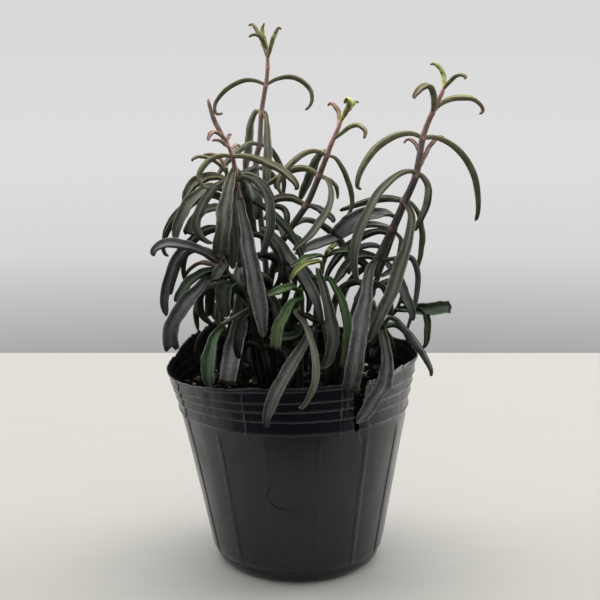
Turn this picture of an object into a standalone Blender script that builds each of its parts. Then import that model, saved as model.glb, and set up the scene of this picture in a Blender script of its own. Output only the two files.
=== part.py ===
"""A narrow-leaved succulent in a thin black nursery pot: several leafy stems with opposite, arching,
channelled leaves stand in holes in the soil, and a few leaves hang over the rim of the pot.

Sizes are in millimetres until a mesh is written in metres. +Z is up, +X is to the right of a viewer who
stands at -Y, and the origin is the middle of the pot's foot.
"""

import math
import random
from itertools import product

import bmesh
import bpy
import numpy as np
from mathutils import Matrix, Vector
from mathutils.bvhtree import BVHTree
from mathutils.geometry import interpolate_bezier

MM = 0.001

# Pot
POT_HEIGHT = 78.0
RIM_RADIUS = 45.0
FOOT_RADIUS = 30.6
WALL = 0.9
FLOOR_THICKNESS = 1.4
FOOT_ROUNDING = 4.5
FOOT_STEPS = 4
STEP_HEIGHTS = (76.3, 71.9, 68.4, 64.6, 59.8)
STEP_SHARE = 0.6
BEAD_PROUD = 0.3
BEAD_HALF_WIDTH = 0.5
LIP_PROUD = 0.3
LIP_DEPTH = 1.4
POT_SIDES = 40
UPRIGHT_COUNT = 14
UPRIGHT_START = math.radians(-155.0)
UPRIGHT_BOTTOM = 6.0
UPRIGHT_TOP = 57.0
UPRIGHT_PROUD = 0.3
UPRIGHT_WIDTH = 1.3
RIM_LEAN = -1.9
RIM_SAG = 5.2
SAG_AZIMUTH = math.radians(196.0)
SAG_SHARPNESS = 5.0
SAG_REACH = 5.0
LEFT_PINCH = 0.6
PINCH_SHARPNESS = 6.0
PINCH_REACH = 2.0
DENT_REACH = 14.0
TEAR_AZIMUTH = math.radians(-59.5)
TEAR_TOP_WIDTH = 4.4
TEAR_BOTTOM = 59.0
TEAR_DRIFT = 0.6
TEAR_SHARES = (0.0, 0.25, 0.6, 1.0)
TEAR_FOOT_SHARE = 0.06
TEAR_BULGE = 0.6
TEAR_DEPTH = 3.0
TEAR_OVERSHOOT = 4.0
DRAIN_HOLES = 6
DRAIN_RADIUS = 3.0
DRAIN_RING = 19.0

# Places where the rim is pulled out of shape: azimuth and spread in degrees, outwards and upwards in mm
DENTS = ((140.0, 17.0, 0.0, 4.5), (25.0, 14.0, 1.4, 0.0), (-4.0, 9.0, 0.5, 0.0), (-28.0, 13.0, -1.4, 0.4))

# Soil
SOIL_TOP = 67.0
SOIL_MOUND = 1.0
SOIL_RELIEF = 0.9
SOIL_GAP = 0.6
LUMP_START = 1.0
LUMP_WAVES = (0.31, 0.27)
SLANTED_WAVES = (0.13, 0.19)
SOIL_RINGS = 5
SOIL_SIDES = 24
HOLE_GAP = 0.4
HOLE_STATIONS = 5

# Stems and leaves
TIP_RADIUS = 0.6
STEM_TAPER = 1.3
NODE_SWELL = 1.25
TUBE_ROUNDING = 1
BLADE_DEPTH_SHARE = 0.66
SHALLOWEST_BLADE = 1.3
DEEPEST_BLADE = 2.3
FLESH = 0.9
TURN_REACH = 0.4
ROOT_WIDTH = 0.42
ROOT_DEPTH = 0.65
TAPER_START = 0.65
TAPER_SPAN = 0.42
TAPER_SHARPNESS = 2.6
TIP_THINNING = 0.5
THINNING_SHARPNESS = 1.5
WIDE_BLADE = 4.9
NARROW_BLADE = 2.1
RING_SPACING = 14.0
RING_BEND = math.radians(36.0)
FEWEST_RINGS = 5
MOST_RINGS = 11
LEAF_CLEARANCE = 0.35

# How far a leaf's tip and middle may be bent nearer or farther to pass its neighbours, least first
TIP_SHIFTS = range(-18, 19, 3)
BULGES = (0, -4, 4, -8, 8)
BULGE_COST = 1.2
TRIES = sorted(product(TIP_SHIFTS, BULGES), key=lambda bend: abs(bend[0]) + BULGE_COST * abs(bend[1]))
OUTWARD_EASE = 1.8

# Leaves low on the stems, where the photo shows only a dark tangle
LOWEST_PAIR = 17.0
PAIR_SPACING = 10.5
HIDDEN_LENGTHS = (24.0, 38.0)
HIDDEN_WIDTHS = (3.2, 4.6)
HIDDEN_RISES = (0.5, 1.0)
HIDDEN_SPINS = sorted(range(-170, 181, 10), key=abs)
HIDDEN_SPANS = 5
HIDDEN_WANDER = 0.5
ARCH_TURN = 2.9
ARCH_SHARPNESS = 0.8
CHANCE = random.Random(20)

# Where the viewer's eye stands, from whom the plant was read
EYE_DISTANCE = 445.0
EYE_HEIGHT = 193.0
EYE_RIGHT = 0.8

# Each shoot is its stem's radius at the soil, its stem, as points (right, up, behind), and its leaves. A
# leaf is its width, how far behind the pot's axis its tip lies (in front is negative), whether it has a twin
# on the far side of the stem, how many degrees its upper face turns towards the viewer, whether its end is
# cut off, and its midrib as points (right, up) from the stem outwards. All are read on the upright plane
# through the pot's axis, as they look to a viewer in front; placed() takes them to where they stand.
SHOOTS = {
    "shoot_tall": {
        "girth": 1.25,
        "stem": [(-7, 59, 6), (-8.5, 74, 7), (-12, 115, 9), (-14.9, 145.6, 11), (-13.5, 153.9, 11),
                 (-12.8, 165.2, 12), (-11.2, 174.8, 12), (-10.5, 181, 12), (-10.6, 187.5, 12)],
        "leaves": [
            (2.0, 10, 0, 0, 0, [(-10.4, 184), (-9.3, 188), (-7.8, 192.3), (-6.6, 194.4), (-5.6, 193.8)]),
            (1.8, 14, 0, -8, 0, [(-10.6, 184), (-12, 188.5), (-14, 193), (-15.8, 195.6), (-17.1, 195)]),
            (1.1, 9, 0, 12, 0, [(-10.7, 187), (-12.3, 190.3), (-14, 191.9), (-15.6, 192), (-17.1, 191.3)]),
            (1.3, 14, 0, -10, 0, [(-10.6, 187), (-11.6, 190.5), (-12.5, 194), (-11.7, 196.2)]),
            (2.6, 12, 0, 2, 0, [(-11.2, 174.8), (-15, 176.3), (-19.5, 176.2), (-25, 173.3), (-28.7, 169),
                          (-29.2, 166), (-28.3, 164.7), (-26.3, 165)]),
            (2.6, 12, 0, -6, 0, [(-11.2, 174.8), (-7.5, 176.8), (-3, 177.6), (1, 176.4), (4.3, 173.2),
                          (5, 170), (4.2, 167.6), (2.6, 166)]),
            (3.2, 22, 0, -12, 0, [(-12.8, 165.2), (-14.6, 165.6), (-16.1, 162.5), (-17, 156), (-17.8, 150),
                          (-18.8, 143.5)]),
            (3.4, 2, 0, -11, 0, [(-12.8, 165.2), (-11.4, 164.4), (-10.8, 160), (-10.8, 152), (-11, 144),
                          (-11.4, 137.5)]),
            (3.0, 6, 0, -4, 0, [(-13.5, 153.9), (-16.5, 154.4), (-19.5, 152.8), (-23, 150), (-26.5, 146),
                          (-28.6, 142.6)]),
            (3.0, 14, 0, 5, 0, [(-13.5, 153.9), (-10.5, 153.2), (-8, 150), (-6, 145.5), (-5.1, 140.5),
                          (-5.3, 135.7)]),
            (2.8, 3, 1, 11, 0, [(-14.9, 145.6), (-17.2, 145), (-19.5, 143.2), (-21.5, 140), (-22.5, 136)]),
            (7.2, -3, 0, -11, 0, [(-14.9, 145.6), (-17.7, 139.3), (-16.6, 136.0), (-15.8, 132.6),
                          (-15.5, 129.6), (-15.5, 126.9)]),
            (2.8, 6, 1, -6, 0, [(-13.6, 131), (-10, 132), (-6, 131.4), (-4, 128.5), (-4.4, 124),
                          (-5.2, 120)]),
            (3.5, -38, 0, 20, 0, [(-13, 124), (-11.0, 123.0), (-8.9, 121.2), (-5.2, 117.0), (-1.4, 111.6),
                          (2.4, 105.8), (5.8, 99.2), (8.1, 92.2), (8.9, 88.3)]),
            (3.4, 14, 0, 0, 0, [(-13.3, 121), (-10, 124.5), (-6, 123.8), (-2.5, 120.3), (0.5, 116.5)]),
            (3.2, 18, 0, 0, 0, [(-12, 112), (-9, 114.5), (-5, 113), (-2, 108), (-1, 102)]),
            (3.2, 20, 0, 0, 0, [(-12, 112), (-15, 114), (-18.5, 111.5), (-20.5, 106), (-20.5, 100)]),
        ],
    },
    "shoot_front_left": {
        "girth": 1.4,
        "stem": [(-11, 59, -5), (-13.5, 74, -8), (-17.5, 100, -14), (-20, 120, -20), (-21.3, 135.5, -24),
                 (-22, 141, -25.5), (-22.4, 145.2, -26.5), (-23.2, 149.8, -27.5), (-24.8, 154, -28)],
        "leaves": [
            (2.2, -30, 0, 0, 0, [(-24.4, 153), (-27, 157.5), (-29.5, 162.5), (-30.8, 166.5), (-31.5, 169.2),
                          (-31.2, 170.4)]),
            (1.3, -24, 0, 8, 0, [(-24.5, 153.4), (-24.9, 155.3), (-24.5, 157), (-23.4, 157.6)]),
            (1.8, -34, 0, 12, 0, [(-24.8, 153.6), (-26.8, 156.8), (-29, 158.3), (-30.7, 157.8),
                          (-32, 155.3)]),
            (1.2, -36, 0, -10, 0, [(-24.8, 153.2), (-27, 155), (-28.8, 155.6), (-30.4, 155.3)]),
            (1.2, -20, 0, -2, 0, [(-23.8, 151.6), (-22.6, 153.3), (-21.3, 153.8), (-20.3, 153.1)]),
            (2.6, -30, 0, 6, 0, [(-23.2, 149.8), (-27, 150), (-31, 148.6), (-34.3, 145.2), (-35.1, 142),
                          (-33.8, 139.3), (-31.3, 138.2)]),
            (3.2, -37, 0, 12, 0, [(-23.2, 149.8), (-18.5, 149.8), (-13, 148.2), (-8, 145.9), (-4, 143.3),
                          (-1.3, 140.8), (-0.4, 138.8), (-1.2, 138)]),
            (5.2, -46, 1, 11, 1, [(-22.4, 145.2), (-24.0, 141.6), (-24.8, 136.7), (-26.0, 131.1),
                          (-26.7, 125.5), (-27.5, 119.9), (-28.1, 114.8)]),
            (3.6, -35, 0, -4, 0, [(-22, 141), (-26, 140.6), (-30.3, 138), (-34, 132.5), (-36.2, 126.5),
                          (-35.3, 121.7), (-32.6, 119.2), (-30.6, 118.6)]),
            (3.3, -38, 0, 5, 0, [(-22, 141), (-19.1, 142.3), (-14.7, 140.5), (-11.3, 136.3), (-9.9, 130.7),
                          (-10.3, 123.9), (-11.6, 118.5), (-13.3, 113.8)]),
            (5.5, -50, 1, -11, 0, [(-21.3, 135.5), (-20.7, 133.0), (-19.8, 127.7), (-18.4, 120.8),
                          (-17.0, 113.2), (-15.7, 105.5), (-14.5, 97.7), (-13.3, 89.9), (-12.6, 83.6)]),
            (3.4, -33, 0, 0, 0, [(-22, 139), (-22.9, 133), (-23.4, 125), (-23, 116), (-23.6, 109)]),
        ],
    },
    "shoot_rim_left": {
        "girth": 0.9,
        "stem": [(-19, 59, -12), (-20.5, 72, -13), (-25, 82, -14), (-28, 88.6, -15)],
        "leaves": [
            (6.0, -22, 0, 0, 0, [(-27.4, 87.4), (-29.8, 84.4), (-31.8, 78.9), (-32.8, 73.3), (-32.6, 67.7),
                          (-32.2, 64.1)]),
            (1.6, -30, 0, 8, 0, [(-28, 88.6), (-22.4, 91.6), (-17.8, 94.8)]),
            (2.0, -16, 0, 12, 0, [(-28, 88.6), (-28.4, 93.0), (-28.8, 99.3), (-29.2, 103.9)]),
        ],
    },
    "shoot_left": {
        "girth": 1.2,
        "stem": [(-14, 59, 10), (-16, 74, 9), (-21, 112, 3), (-24, 130, -2), (-25.2, 140.5, -6),
                 (-25.4, 146, -8)],
        "leaves": [
            (1.8, -6, 0, 0, 0, [(-25.4, 144.6), (-27.3, 148.6), (-30, 150.3), (-33, 150.3), (-34.6, 149)]),
            (1.8, -12, 0, -8, 0, [(-25.4, 143.8), (-28.3, 147.2), (-31.5, 149), (-35, 149.7),
                          (-37.2, 148.8), (-37.6, 147.9)]),
            (4.6, -3, 1, 45, 0, [(-25.2, 140.5), (-28.1, 142.3), (-32.5, 142.3), (-36.7, 140.1),
                          (-39.4, 136.7), (-40.6, 132.8)]),
            (4.0, -16, 0, 50, 0, [(-24.9, 137), (-30.4, 139.0), (-34.1, 137.5), (-38.3, 133.7),
                          (-41.4, 129.2), (-43.5, 124.3), (-44.1, 119.7)]),
            (3.0, 6, 1, 2, 0, [(-24.3, 132), (-30, 135.5), (-36, 133.8), (-42, 129), (-46.4, 123.3),
                          (-48.4, 118), (-48, 115), (-46.6, 113.7)]),
            (3.4, -14, 0, 40, 1, [(-24, 129), (-27.6, 131.2), (-31.2, 131.4), (-34.2, 130.4),
                          (-36.9, 127.3), (-38.9, 123.9), (-39.6, 122.0)]),
            (3.9, -22, 0, 40, 0, [(-23, 123), (-30.6, 123.9), (-34.4, 122.4), (-38.9, 118.9),
                          (-42.4, 114.7), (-45.2, 109.3), (-47.2, 103.1), (-48.5, 96.9), (-47.9, 91.5)]),
            (6.4, -28, 0, 11, 1, [(-20.8, 110.5), (-21.6, 107.0), (-20.4, 100.8), (-20.9, 92.2),
                          (-22.7, 83.6), (-24.5, 75.7), (-26.2, 65.5)]),
            (3.2, -6, 0, 20, 0, [(-24.6, 134), (-30, 136.5), (-35.5, 135), (-41, 131.1), (-44.8, 127.3),
                          (-47.3, 123.1), (-48.4, 119.7)]),
        ],
    },
    "shoot_low_left": {
        "girth": 1.2,
        "stem": [(-9, 59, -14), (-11.5, 74, -17), (-18, 96, -23), (-25.5, 107.5, -27), (-27.3, 113, -28),
                 (-27.5, 116.5, -28)],
        "leaves": [
            (3.6, -33, 0, 40, 0, [(-26.8, 110.6), (-31.1, 112.8), (-33.8, 115.1), (-36.6, 116.5),
                          (-39.4, 117.6), (-42.2, 117.9), (-44.9, 118.3), (-47.7, 118.3), (-50.2, 117.3),
                          (-52.0, 115.6), (-52.0, 113.7)]),
            (3.2, -37, 0, 35, 0, [(-26, 108.5), (-30.8, 108.6), (-34.6, 107.4), (-39.2, 104.3),
                          (-42.7, 100.4), (-44.7, 96.8)]),
            (5.0, -45, 0, 45, 1, [(-25, 106.5), (-31.6, 105.5), (-35.5, 102.0), (-40.1, 97.7),
                          (-43.6, 93.0), (-45.8, 88.3), (-46.7, 83.6), (-46.2, 79.2)]),
            (2.2, -10, 0, -10, 0, [(-26, 108.5), (-31.5, 110.9), (-35.3, 111.3), (-38.7, 109.3),
                          (-40.5, 107.0), (-41.2, 105.3)]),
            (3.4, -13, 0, 2, 0, [(-27, 112), (-32, 115.5), (-38, 116), (-42.5, 112), (-45, 105),
                          (-46.3, 99.5)]),
            (5.6, -38, 1, 6, 0, [(-19.5, 98.5), (-24, 103), (-27, 101), (-26.8, 96), (-26, 91)]),
            (3.2, -8, 0, 10, 0, [(-24, 104.5), (-32.4, 102.4), (-35.1, 99.3), (-35.6, 94.6), (-34.0, 91.1),
                          (-31.1, 88.2)]),
            (3.4, -4, 0, 0, 0, [(-23, 102), (-30.9, 103.9), (-31.9, 99.3), (-32.3, 94.6), (-32.6, 91.5)]),
            (2.6, -2, 0, 0, 0, [(-25, 106), (-31, 104), (-35.5, 98.5), (-37, 92), (-36.5, 86)]),
            (3.6, -36, 0, 20, 0, [(-26.9, 112.2), (-27.0, 110.2), (-28.6, 107.8), (-30.9, 105.1)]),
        ],
    },
    "shoot_middle": {
        "girth": 1.5,
        "stem": [(-8, 59, 1), (-9, 74, 0), (-10.5, 100, -1), (-8, 112, -3), (-4.8, 120.8, -5),
                 (2.9, 132, -7), (7.6, 142.9, -8), (10.4, 150.2, -9), (12, 154.6, -9), (14.3, 159.8, -9),
                 (15.3, 162.4, -9)],
        "leaves": [
            (1.8, -6, 0, 0, 0, [(14.1, 159), (14.6, 163), (13.8, 166.2), (12, 168.4), (10.5, 167.6)]),
            (2.4, -12, 0, 8, 0, [(12.4, 155.6), (15.5, 158), (18.5, 160.2), (21.5, 160.7), (23.8, 158.8),
                          (23.5, 156)]),
            (2.2, -14, 0, -12, 0, [(15.2, 162), (17, 165.3), (18.6, 168.6), (17.4, 170), (16.3, 168.4)]),
            (1.5, -6, 0, 10, 0, [(15.2, 162), (17.8, 166), (20.2, 168.9), (21.6, 168.7)]),
            (2.8, -14, 0, 2, 0, [(10.4, 150.2), (6, 151.7), (1.5, 150.3), (-2.5, 147), (-5.5, 143.3),
                          (-6.9, 139.5), (-6, 136.3)]),
            (2.4, -4, 0, -6, 0, [(10.4, 150.2), (13.5, 149), (16.3, 144.5), (18.5, 139), (19.4, 134),
                          (18.8, 130.5), (17.6, 128.6)]),
            (3.8, 7, 0, -12, 0, [(10.2, 149.7), (8.8, 151.5), (6.8, 148.3), (4.6, 143.3), (2.4, 138),
                          (0.9, 134.2)]),
            (3.4, 1, 0, 11, 0, [(7.6, 142.9), (3.5, 145.2), (-1.5, 145), (-6, 142.8), (-10, 140.2),
                          (-12.6, 138.2)]),
            (2.7, -27, 0, -4, 0, [(7.6, 142.9), (10.2, 141.6), (11.7, 138.2), (11.8, 133.7), (9.3, 127.7),
                          (4.7, 121.6), (0.1, 117.4), (-1.8, 115.8)]),
            (1.5, 0, 0, 5, 0, [(7.6, 142.9), (9.8, 142.3), (12.5, 140.5), (14.0, 137.5), (14.2, 134.5)]),
            (3.6, -4, 0, 20, 0, [(2.9, 132), (0.9, 133.3), (-2.1, 134.8), (-5.9, 134.8), (-9.2, 133.7),
                          (-11.9, 131.4)]),
            (2.8, -14, 0, 11, 0, [(2.9, 132), (4.6, 132.0), (8.0, 130.7), (11.8, 128.0), (13.1, 126.0)]),
            (3.0, -15, 0, -6, 0, [(-4.8, 120.8), (-1.5, 120.6), (1, 118.5), (2, 115)]),
            (2.4, 4, 0, 3, 0, [(-5.2, 120), (-6.3, 124.5), (-8.3, 128), (-10.2, 129), (-12, 127)]),
            (3.6, 10, 0, 0, 0, [(-9, 108), (-5, 111.5), (0, 111), (4, 107), (5.5, 102), (5, 97)]),
            (3.4, 6, 0, 0, 0, [(-9.5, 104), (-14, 107), (-18, 105), (-20.5, 100), (-21, 94)]),
            (4.0, 18, 0, 10, 0, [(-2.0, 124.8), (2.5, 127.0), (8.0, 125.5), (13.5, 121.0), (17.5, 114.5),
                          (18.5, 107.0)]),
        ],
    },
    "shoot_right": {
        "girth": 1.85,
        "stem": [(13, 59, -3), (15.5, 74, -5), (22.5, 98, -9), (27.5, 109.5, -11), (34, 123.4, -13),
                 (38.4, 134, -14), (42.2, 143.2, -15), (44.3, 156.4, -15), (47.4, 165, -15),
                 (50.4, 171.5, -15), (51.5, 174, -15)],
        "leaves": [
            (1.8, -12, 0, 0, 0, [(51.2, 173.2), (51.2, 177), (50, 180.3), (48, 182), (46.3, 181.9)]),
            (2.0, -20, 0, 8, 0, [(51.3, 173.4), (54, 176.6), (56.3, 178.2), (58.3, 178), (58.9, 176.7)]),
            (2.8, -19, 0, 12, 0, [(47.4, 165), (47.8, 168.5), (47.6, 172), (46, 174.4), (43.5, 173.8),
                          (41.7, 171.8), (40.7, 170)]),
            (2.8, -12, 0, 10, 0, [(47.4, 165), (49.8, 167.8), (53, 169.6), (57.5, 170.3), (61.5, 170),
                          (64.4, 167.9), (65.2, 165.8), (64, 164.6)]),
            (3.4, -18, 0, 2, 0, [(44.3, 156.4), (40, 157.9), (34.5, 157), (29, 153.6), (25, 149),
                          (22.2, 143.8), (21.3, 140), (21.7, 138.6), (22.9, 138.1)]),
            (3.4, -12, 0, -6, 0, [(44.3, 156.4), (49, 156.4), (54.5, 154), (59.2, 149.5), (62.6, 143.5),
                          (64.2, 137), (64.6, 131), (64.1, 127.6), (63.5, 126.8)]),
            (1.6, -10, 0, 12, 0, [(42.4, 143.6), (44.3, 148), (46.5, 152.3), (49, 156), (50.8, 156.8),
                          (52, 156.2)]),
            (1.3, -10, 0, 11, 0, [(42.4, 143.6), (43.6, 148.5), (42.8, 152.5), (41, 155), (39, 155.8),
                          (37.5, 154.4)]),
            (3.3, -34, 0, 20, 0, [(42.2, 143.2), (40.7, 144.5), (37.2, 143.9), (33.3, 141.3), (29.3, 136.7),
                          (25.9, 130.9), (23.1, 125.1), (20.9, 118.7), (20.4, 112.8), (21.0, 107.5),
                          (22.2, 103.9)]),
            (3.3, -18, 0, -5, 0, [(42.2, 143.2), (43.9, 143.0), (46.3, 139.6), (46.4, 134.5), (44.5, 128.6),
                          (42.0, 123.0)]),
            (4.6, -1, 0, 11, 0, [(38.4, 134), (36.8, 134.1), (31.6, 134.7), (25.9, 133.8), (20.2, 132.1),
                          (15.0, 130.4)]),
            (4.5, -45, 0, -11, 0, [(38.4, 134), (40.7, 128.6), (40.5, 123.4), (39.4, 117.5), (37.8, 111.6),
                          (36.1, 105.7), (33.9, 99.8), (31.2, 94.2), (28.6, 88.6), (26.4, 82.7)]),
            (2.3, -8, 0, -6, 0, [(38.4, 134), (40.7, 133.0), (43.4, 128.6), (44.8, 121.7), (44.2, 114.8),
                          (43.2, 109.1)]),
            (3.8, -7, 0, 55, 0, [(34, 123.4), (31.7, 124.5), (27.3, 125.2), (22.8, 124.7), (18.4, 123.0),
                          (14.0, 121.0), (9.0, 119.0), (4.0, 117.1), (-1.1, 114.5)]),
            (2.4, -21, 0, 10, 0, [(34, 123.4), (35.0, 122.6), (37.2, 119.5), (37.2, 114.8), (34.8, 109.6),
                          (30.1, 106.1)]),
            (5.9, -48, 0, 12, 1, [(28.6, 112), (27.2, 110.6), (25.9, 108.0), (25.1, 102.8), (24.4, 96.5),
                          (23.4, 89.6), (22.3, 82.6), (20.8, 72.4), (19.3, 63.4)]),
            (2.8, -14, 0, 8, 0, [(28.6, 112), (37.3, 113.1), (41.3, 112.8), (43.4, 107.5), (43.2, 100.4),
                          (42.2, 94.4), (39.8, 86.0)]),
            (3.2, -4, 0, 0, 0, [(24.5, 102.5), (20.5, 104.5), (16, 102), (13.5, 96), (13, 89)]),
            (3.2, -6, 0, 0, 0, [(24.5, 102.5), (28, 104), (31.5, 101.5), (33.5, 96), (33.5, 90)]),
        ],
    },
    "shoot_right_behind": {
        "girth": 1.3,
        "stem": [(18, 59, 8), (20, 74, 7), (27, 100, 2), (31.3, 112.5, 0), (34.2, 121, -2),
                 (35.2, 128.5, -3)],
        "leaves": [
            (5.2, -14, 0, 60, 1, [(35.2, 128), (32.3, 129.4), (28.3, 129.5), (23.9, 128.9), (19.8, 126.9),
                          (16.4, 124.3), (13.7, 121.3)]),
            (3.4, -20, 0, 8, 0, [(31.3, 112.5), (36.6, 105.2), (38.8, 100.0), (41.0, 94.7), (42.2, 89.8)]),
            (2.6, -8, 0, 12, 0, [(32, 115), (28.5, 117.6), (24, 117.4), (20.5, 115.5), (17.5, 112)]),
            (3.0, 2, 1, 10, 0, [(27.6, 102), (30.5, 103.6), (34, 104.2), (37.5, 102.5)]),
            (4.4, 4, 0, 40, 0, [(31, 110), (27, 113.5), (22, 113.8), (18, 110.5), (15.5, 107),
                          (13.3, 103.8)]),
            (3.4, 8, 0, 25, 0, [(29.3, 106), (22.8, 111.6), (19.1, 110.8), (15.3, 107.0), (13.0, 103.9)]),
            (4.2, 12, 0, 40, 0, [(34.2, 121.0), (29.5, 122.8), (23.5, 121.0), (17.5, 116.5), (12.5, 110.5),
                          (9.5, 104.0)]),
            (3.8, 16, 0, 30, 0, [(30.2, 109.0), (25.0, 109.6), (20.0, 106.0), (17.0, 100.0), (16.0, 93.0)]),
        ],
    },
    "shoot_centre_green": {
        "girth": 1.1,
        "stem": [(5, 59, -12), (5.5, 74, -15), (7, 98, -21), (8.5, 108, -23), (9.8, 113, -24),
                 (10.6, 116, -24.5)],
        "leaves": [
            (2.0, -33, 0, 40, 0, [(9.8, 113), (8.1, 114.1), (4.7, 113.5), (0.9, 112.0), (-2.9, 109.7)]),
            (2.1, -29, 0, 40, 0, [(9.8, 113), (11.1, 114.1), (14.5, 115.6), (18.6, 115.8)]),
            (1.7, -22, 0, -12, 0, [(10.3, 115), (12.6, 117.4), (14.5, 118.0)]),
            (2.0, -38, 0, 30, 0, [(8.9, 109.6), (7.7, 112.0), (2.8, 110.7), (-1.0, 107.8), (-3.2, 104.7)]),
            (4.3, -40, 0, -2, 0, [(8.6, 108.5), (7.3, 108.7), (8.3, 105.0), (10.2, 99.2), (11.8, 92.2),
                          (12.8, 85.1), (12.3, 79.6), (10.9, 74.4), (8.2, 71.8)]),
            (3.2, -35, 1, -6, 1, [(8, 105), (11.4, 105.4), (13.4, 102.3), (15.8, 96.9), (17.3, 91.4),
                          (18.1, 85.1), (17.6, 78.8), (16.5, 72.4)]),
        ],
    },
    "shoot_front_green": {
        "girth": 1.1,
        "stem": [(1, 59, -18), (1, 74, -22), (1.5, 90, -27), (1.5, 98, -30), (1.2, 102, -31)],
        "leaves": [
            (2.9, -40, 0, 35, 0, [(1.3, 100.5), (-2.2, 102.3), (-6.7, 101.2), (-10.9, 99.1)]),
            (3.8, -45, 0, -8, 1, [(1.5, 98), (-2.2, 96.5), (-4.8, 92.2), (-6.8, 87.5), (-7.7, 82.4),
                          (-8.0, 79.2)]),
            (2.5, -52, 0, 12, 0, [(1.5, 94), (-1.0, 93.0), (2.0, 88.7), (4.7, 82.0), (6.4, 75.6),
                          (6.9, 70.9), (5.7, 64.4), (2.2, 57.5), (0.2, 56.6)]),
            (4.6, -50, 0, -10, 0, [(1.4, 86), (5, 87), (3.5, 82.5), (-0.5, 76), (-4.8, 69), (-8.3, 61.5),
                          (-11, 54.5), (-11.6, 51), (-10.8, 49)]),
            (3.6, -34, 0, 30, 0, [(1.5, 88), (0.1, 84.3), (-5.2, 83.2), (-10.6, 83.6)]),
        ],
    },
    "shoot_rim_right": {
        "girth": 1.1,
        "stem": [(17, 59, -14), (18.5, 72, -17), (27, 82, -22), (31.5, 88.5, -26), (33.5, 91.5, -28)],
        "leaves": [
            (3.6, -30, 0, 0, 0, [(33.2, 91), (35.6, 90.3), (37.7, 88.0), (42.1, 82.7), (46.1, 76.9),
                          (48.9, 71.5), (49.2, 68.8)]),
            (5.4, -45, 0, -8, 0, [(30.8, 87.4), (31.3, 84.0), (32.9, 77.8), (33.0, 71.5), (31.8, 65.2),
                          (29.3, 61.5), (25.8, 55.2), (21.8, 50.6)]),
        ],
    },
    "shoot_back_right": {
        "girth": 1.0,
        "stem": [(20, 59, 14), (23, 74, 14), (31, 88, 12), (36, 94, 10), (38, 100, 9)],
        "leaves": [
            (4.7, 4, 0, 75, 1, [(35.4, 94), (40.2, 94.2), (46.2, 94.3), (50.5, 94.7), (55.5, 95.0)]),
            (2.8, 2, 0, 8, 0, [(37.8, 97), (45.4, 93.8), (47.0, 90.3), (47.4, 85.8), (46.9, 81.4),
                          (45.8, 79.4)]),
        ],
    },
}

# Colours
POT_BLACK = (0.018, 0.018, 0.02)
POT_ROUGHNESS = 0.42
SOIL_BROWN = (0.022, 0.017, 0.013)
SOIL_ROUGHNESS = 0.95
LEAF_ROUGHNESS = 0.5
GREY_GREEN = (0.075, 0.08, 0.07)
SHOOT_COLOURS = {
    "shoot_centre_green": (0.06, 0.12, 0.035),
    "shoot_front_green": (0.06, 0.10, 0.05),
    "shoot_back_right": (0.05, 0.13, 0.04),
    "shoot_rim_left": (0.06, 0.09, 0.06),
}


def start_empty():
    """Remove whatever the file holds."""
    for item in list(bpy.data.objects):
        bpy.data.objects.remove(item, do_unlink=True)


def new_collection(name):
    """Make a collection in the scene."""
    collection = bpy.data.collections.new(name)
    bpy.context.scene.collection.children.link(collection)
    return collection


def new_object(name, mesh, collection):
    """Put a mesh into the scene under a plain name."""
    item = bpy.data.objects.new(name, mesh)
    collection.objects.link(item)
    return item


def finish(item, colour, roughness):
    """Give an object its own material."""
    material = bpy.data.materials.new(item.name + "_finish")
    material.use_nodes = True
    shader = material.node_tree.nodes["Principled BSDF"]
    shader.inputs["Base Color"].default_value = (*colour, 1.0)
    shader.inputs["Roughness"].default_value = roughness
    shader.inputs["Metallic"].default_value = 0.0
    item.data.materials.clear()
    item.data.materials.append(material)


def evaluated_mesh(item):
    """Read an object's mesh with its modifiers applied."""
    bpy.context.view_layer.update()
    return bpy.data.meshes.new_from_object(item.evaluated_get(bpy.context.evaluated_depsgraph_get()))


def apply_modifiers(item):
    """Replace an object's mesh with what its modifiers make of it."""
    before = item.data
    item.data = evaluated_mesh(item)
    item.modifiers.clear()
    bpy.data.meshes.remove(before)


def join_or_cut(item, operation, collection, solver="EXACT"):
    """Join the objects of a collection to an object, or cut them out of it, and remove them."""
    boolean = item.modifiers.new(operation.lower(), "BOOLEAN")
    boolean.operation = operation
    boolean.operand_type = "COLLECTION"
    boolean.collection = collection
    boolean.solver = solver
    apply_modifiers(item)
    for helper in list(collection.objects):
        bpy.data.objects.remove(helper, do_unlink=True)


def split_into_triangles(item):
    """Split an object's faces into triangles, so that each is flat."""
    form = bmesh.new()
    form.from_mesh(item.data)
    bmesh.ops.triangulate(form, faces=form.faces)
    form.to_mesh(item.data)
    form.free()


def fill_pockets(item):
    """Drop the small closed skins inside an object, which are pockets between crossing leaves."""
    form = bmesh.new()
    form.from_mesh(item.data)
    left = set(form.verts)
    skins = []
    while left:
        skin = {left.pop()}
        edge_of_skin = list(skin)
        while edge_of_skin:
            vertex = edge_of_skin.pop()
            reached = {edge.other_vert(vertex) for edge in vertex.link_edges} & left
            left -= reached
            skin |= reached
            edge_of_skin.extend(reached)
        skins.append(skin)
    largest = max(skins, key=len)
    bmesh.ops.delete(form, geom=[vertex for vertex in form.verts if vertex not in largest], context="VERTS")
    form.to_mesh(item.data)
    form.free()


def search_tree(mesh):
    """Make a search tree of a mesh that is in metres, for finding where two surfaces cross."""
    return BVHTree.FromPolygons([v.co for v in mesh.vertices], [p.vertices for p in mesh.polygons])


# Curves and lofts


def placed(right, up, behind):
    """Take a point seen on the upright plane through the pot's axis back along its sight line."""
    spread = (EYE_DISTANCE + behind) / EYE_DISTANCE
    across = EYE_RIGHT + (right - EYE_RIGHT) * spread
    return Vector((across, behind, EYE_HEIGHT - (EYE_HEIGHT - up) * spread))


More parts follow.
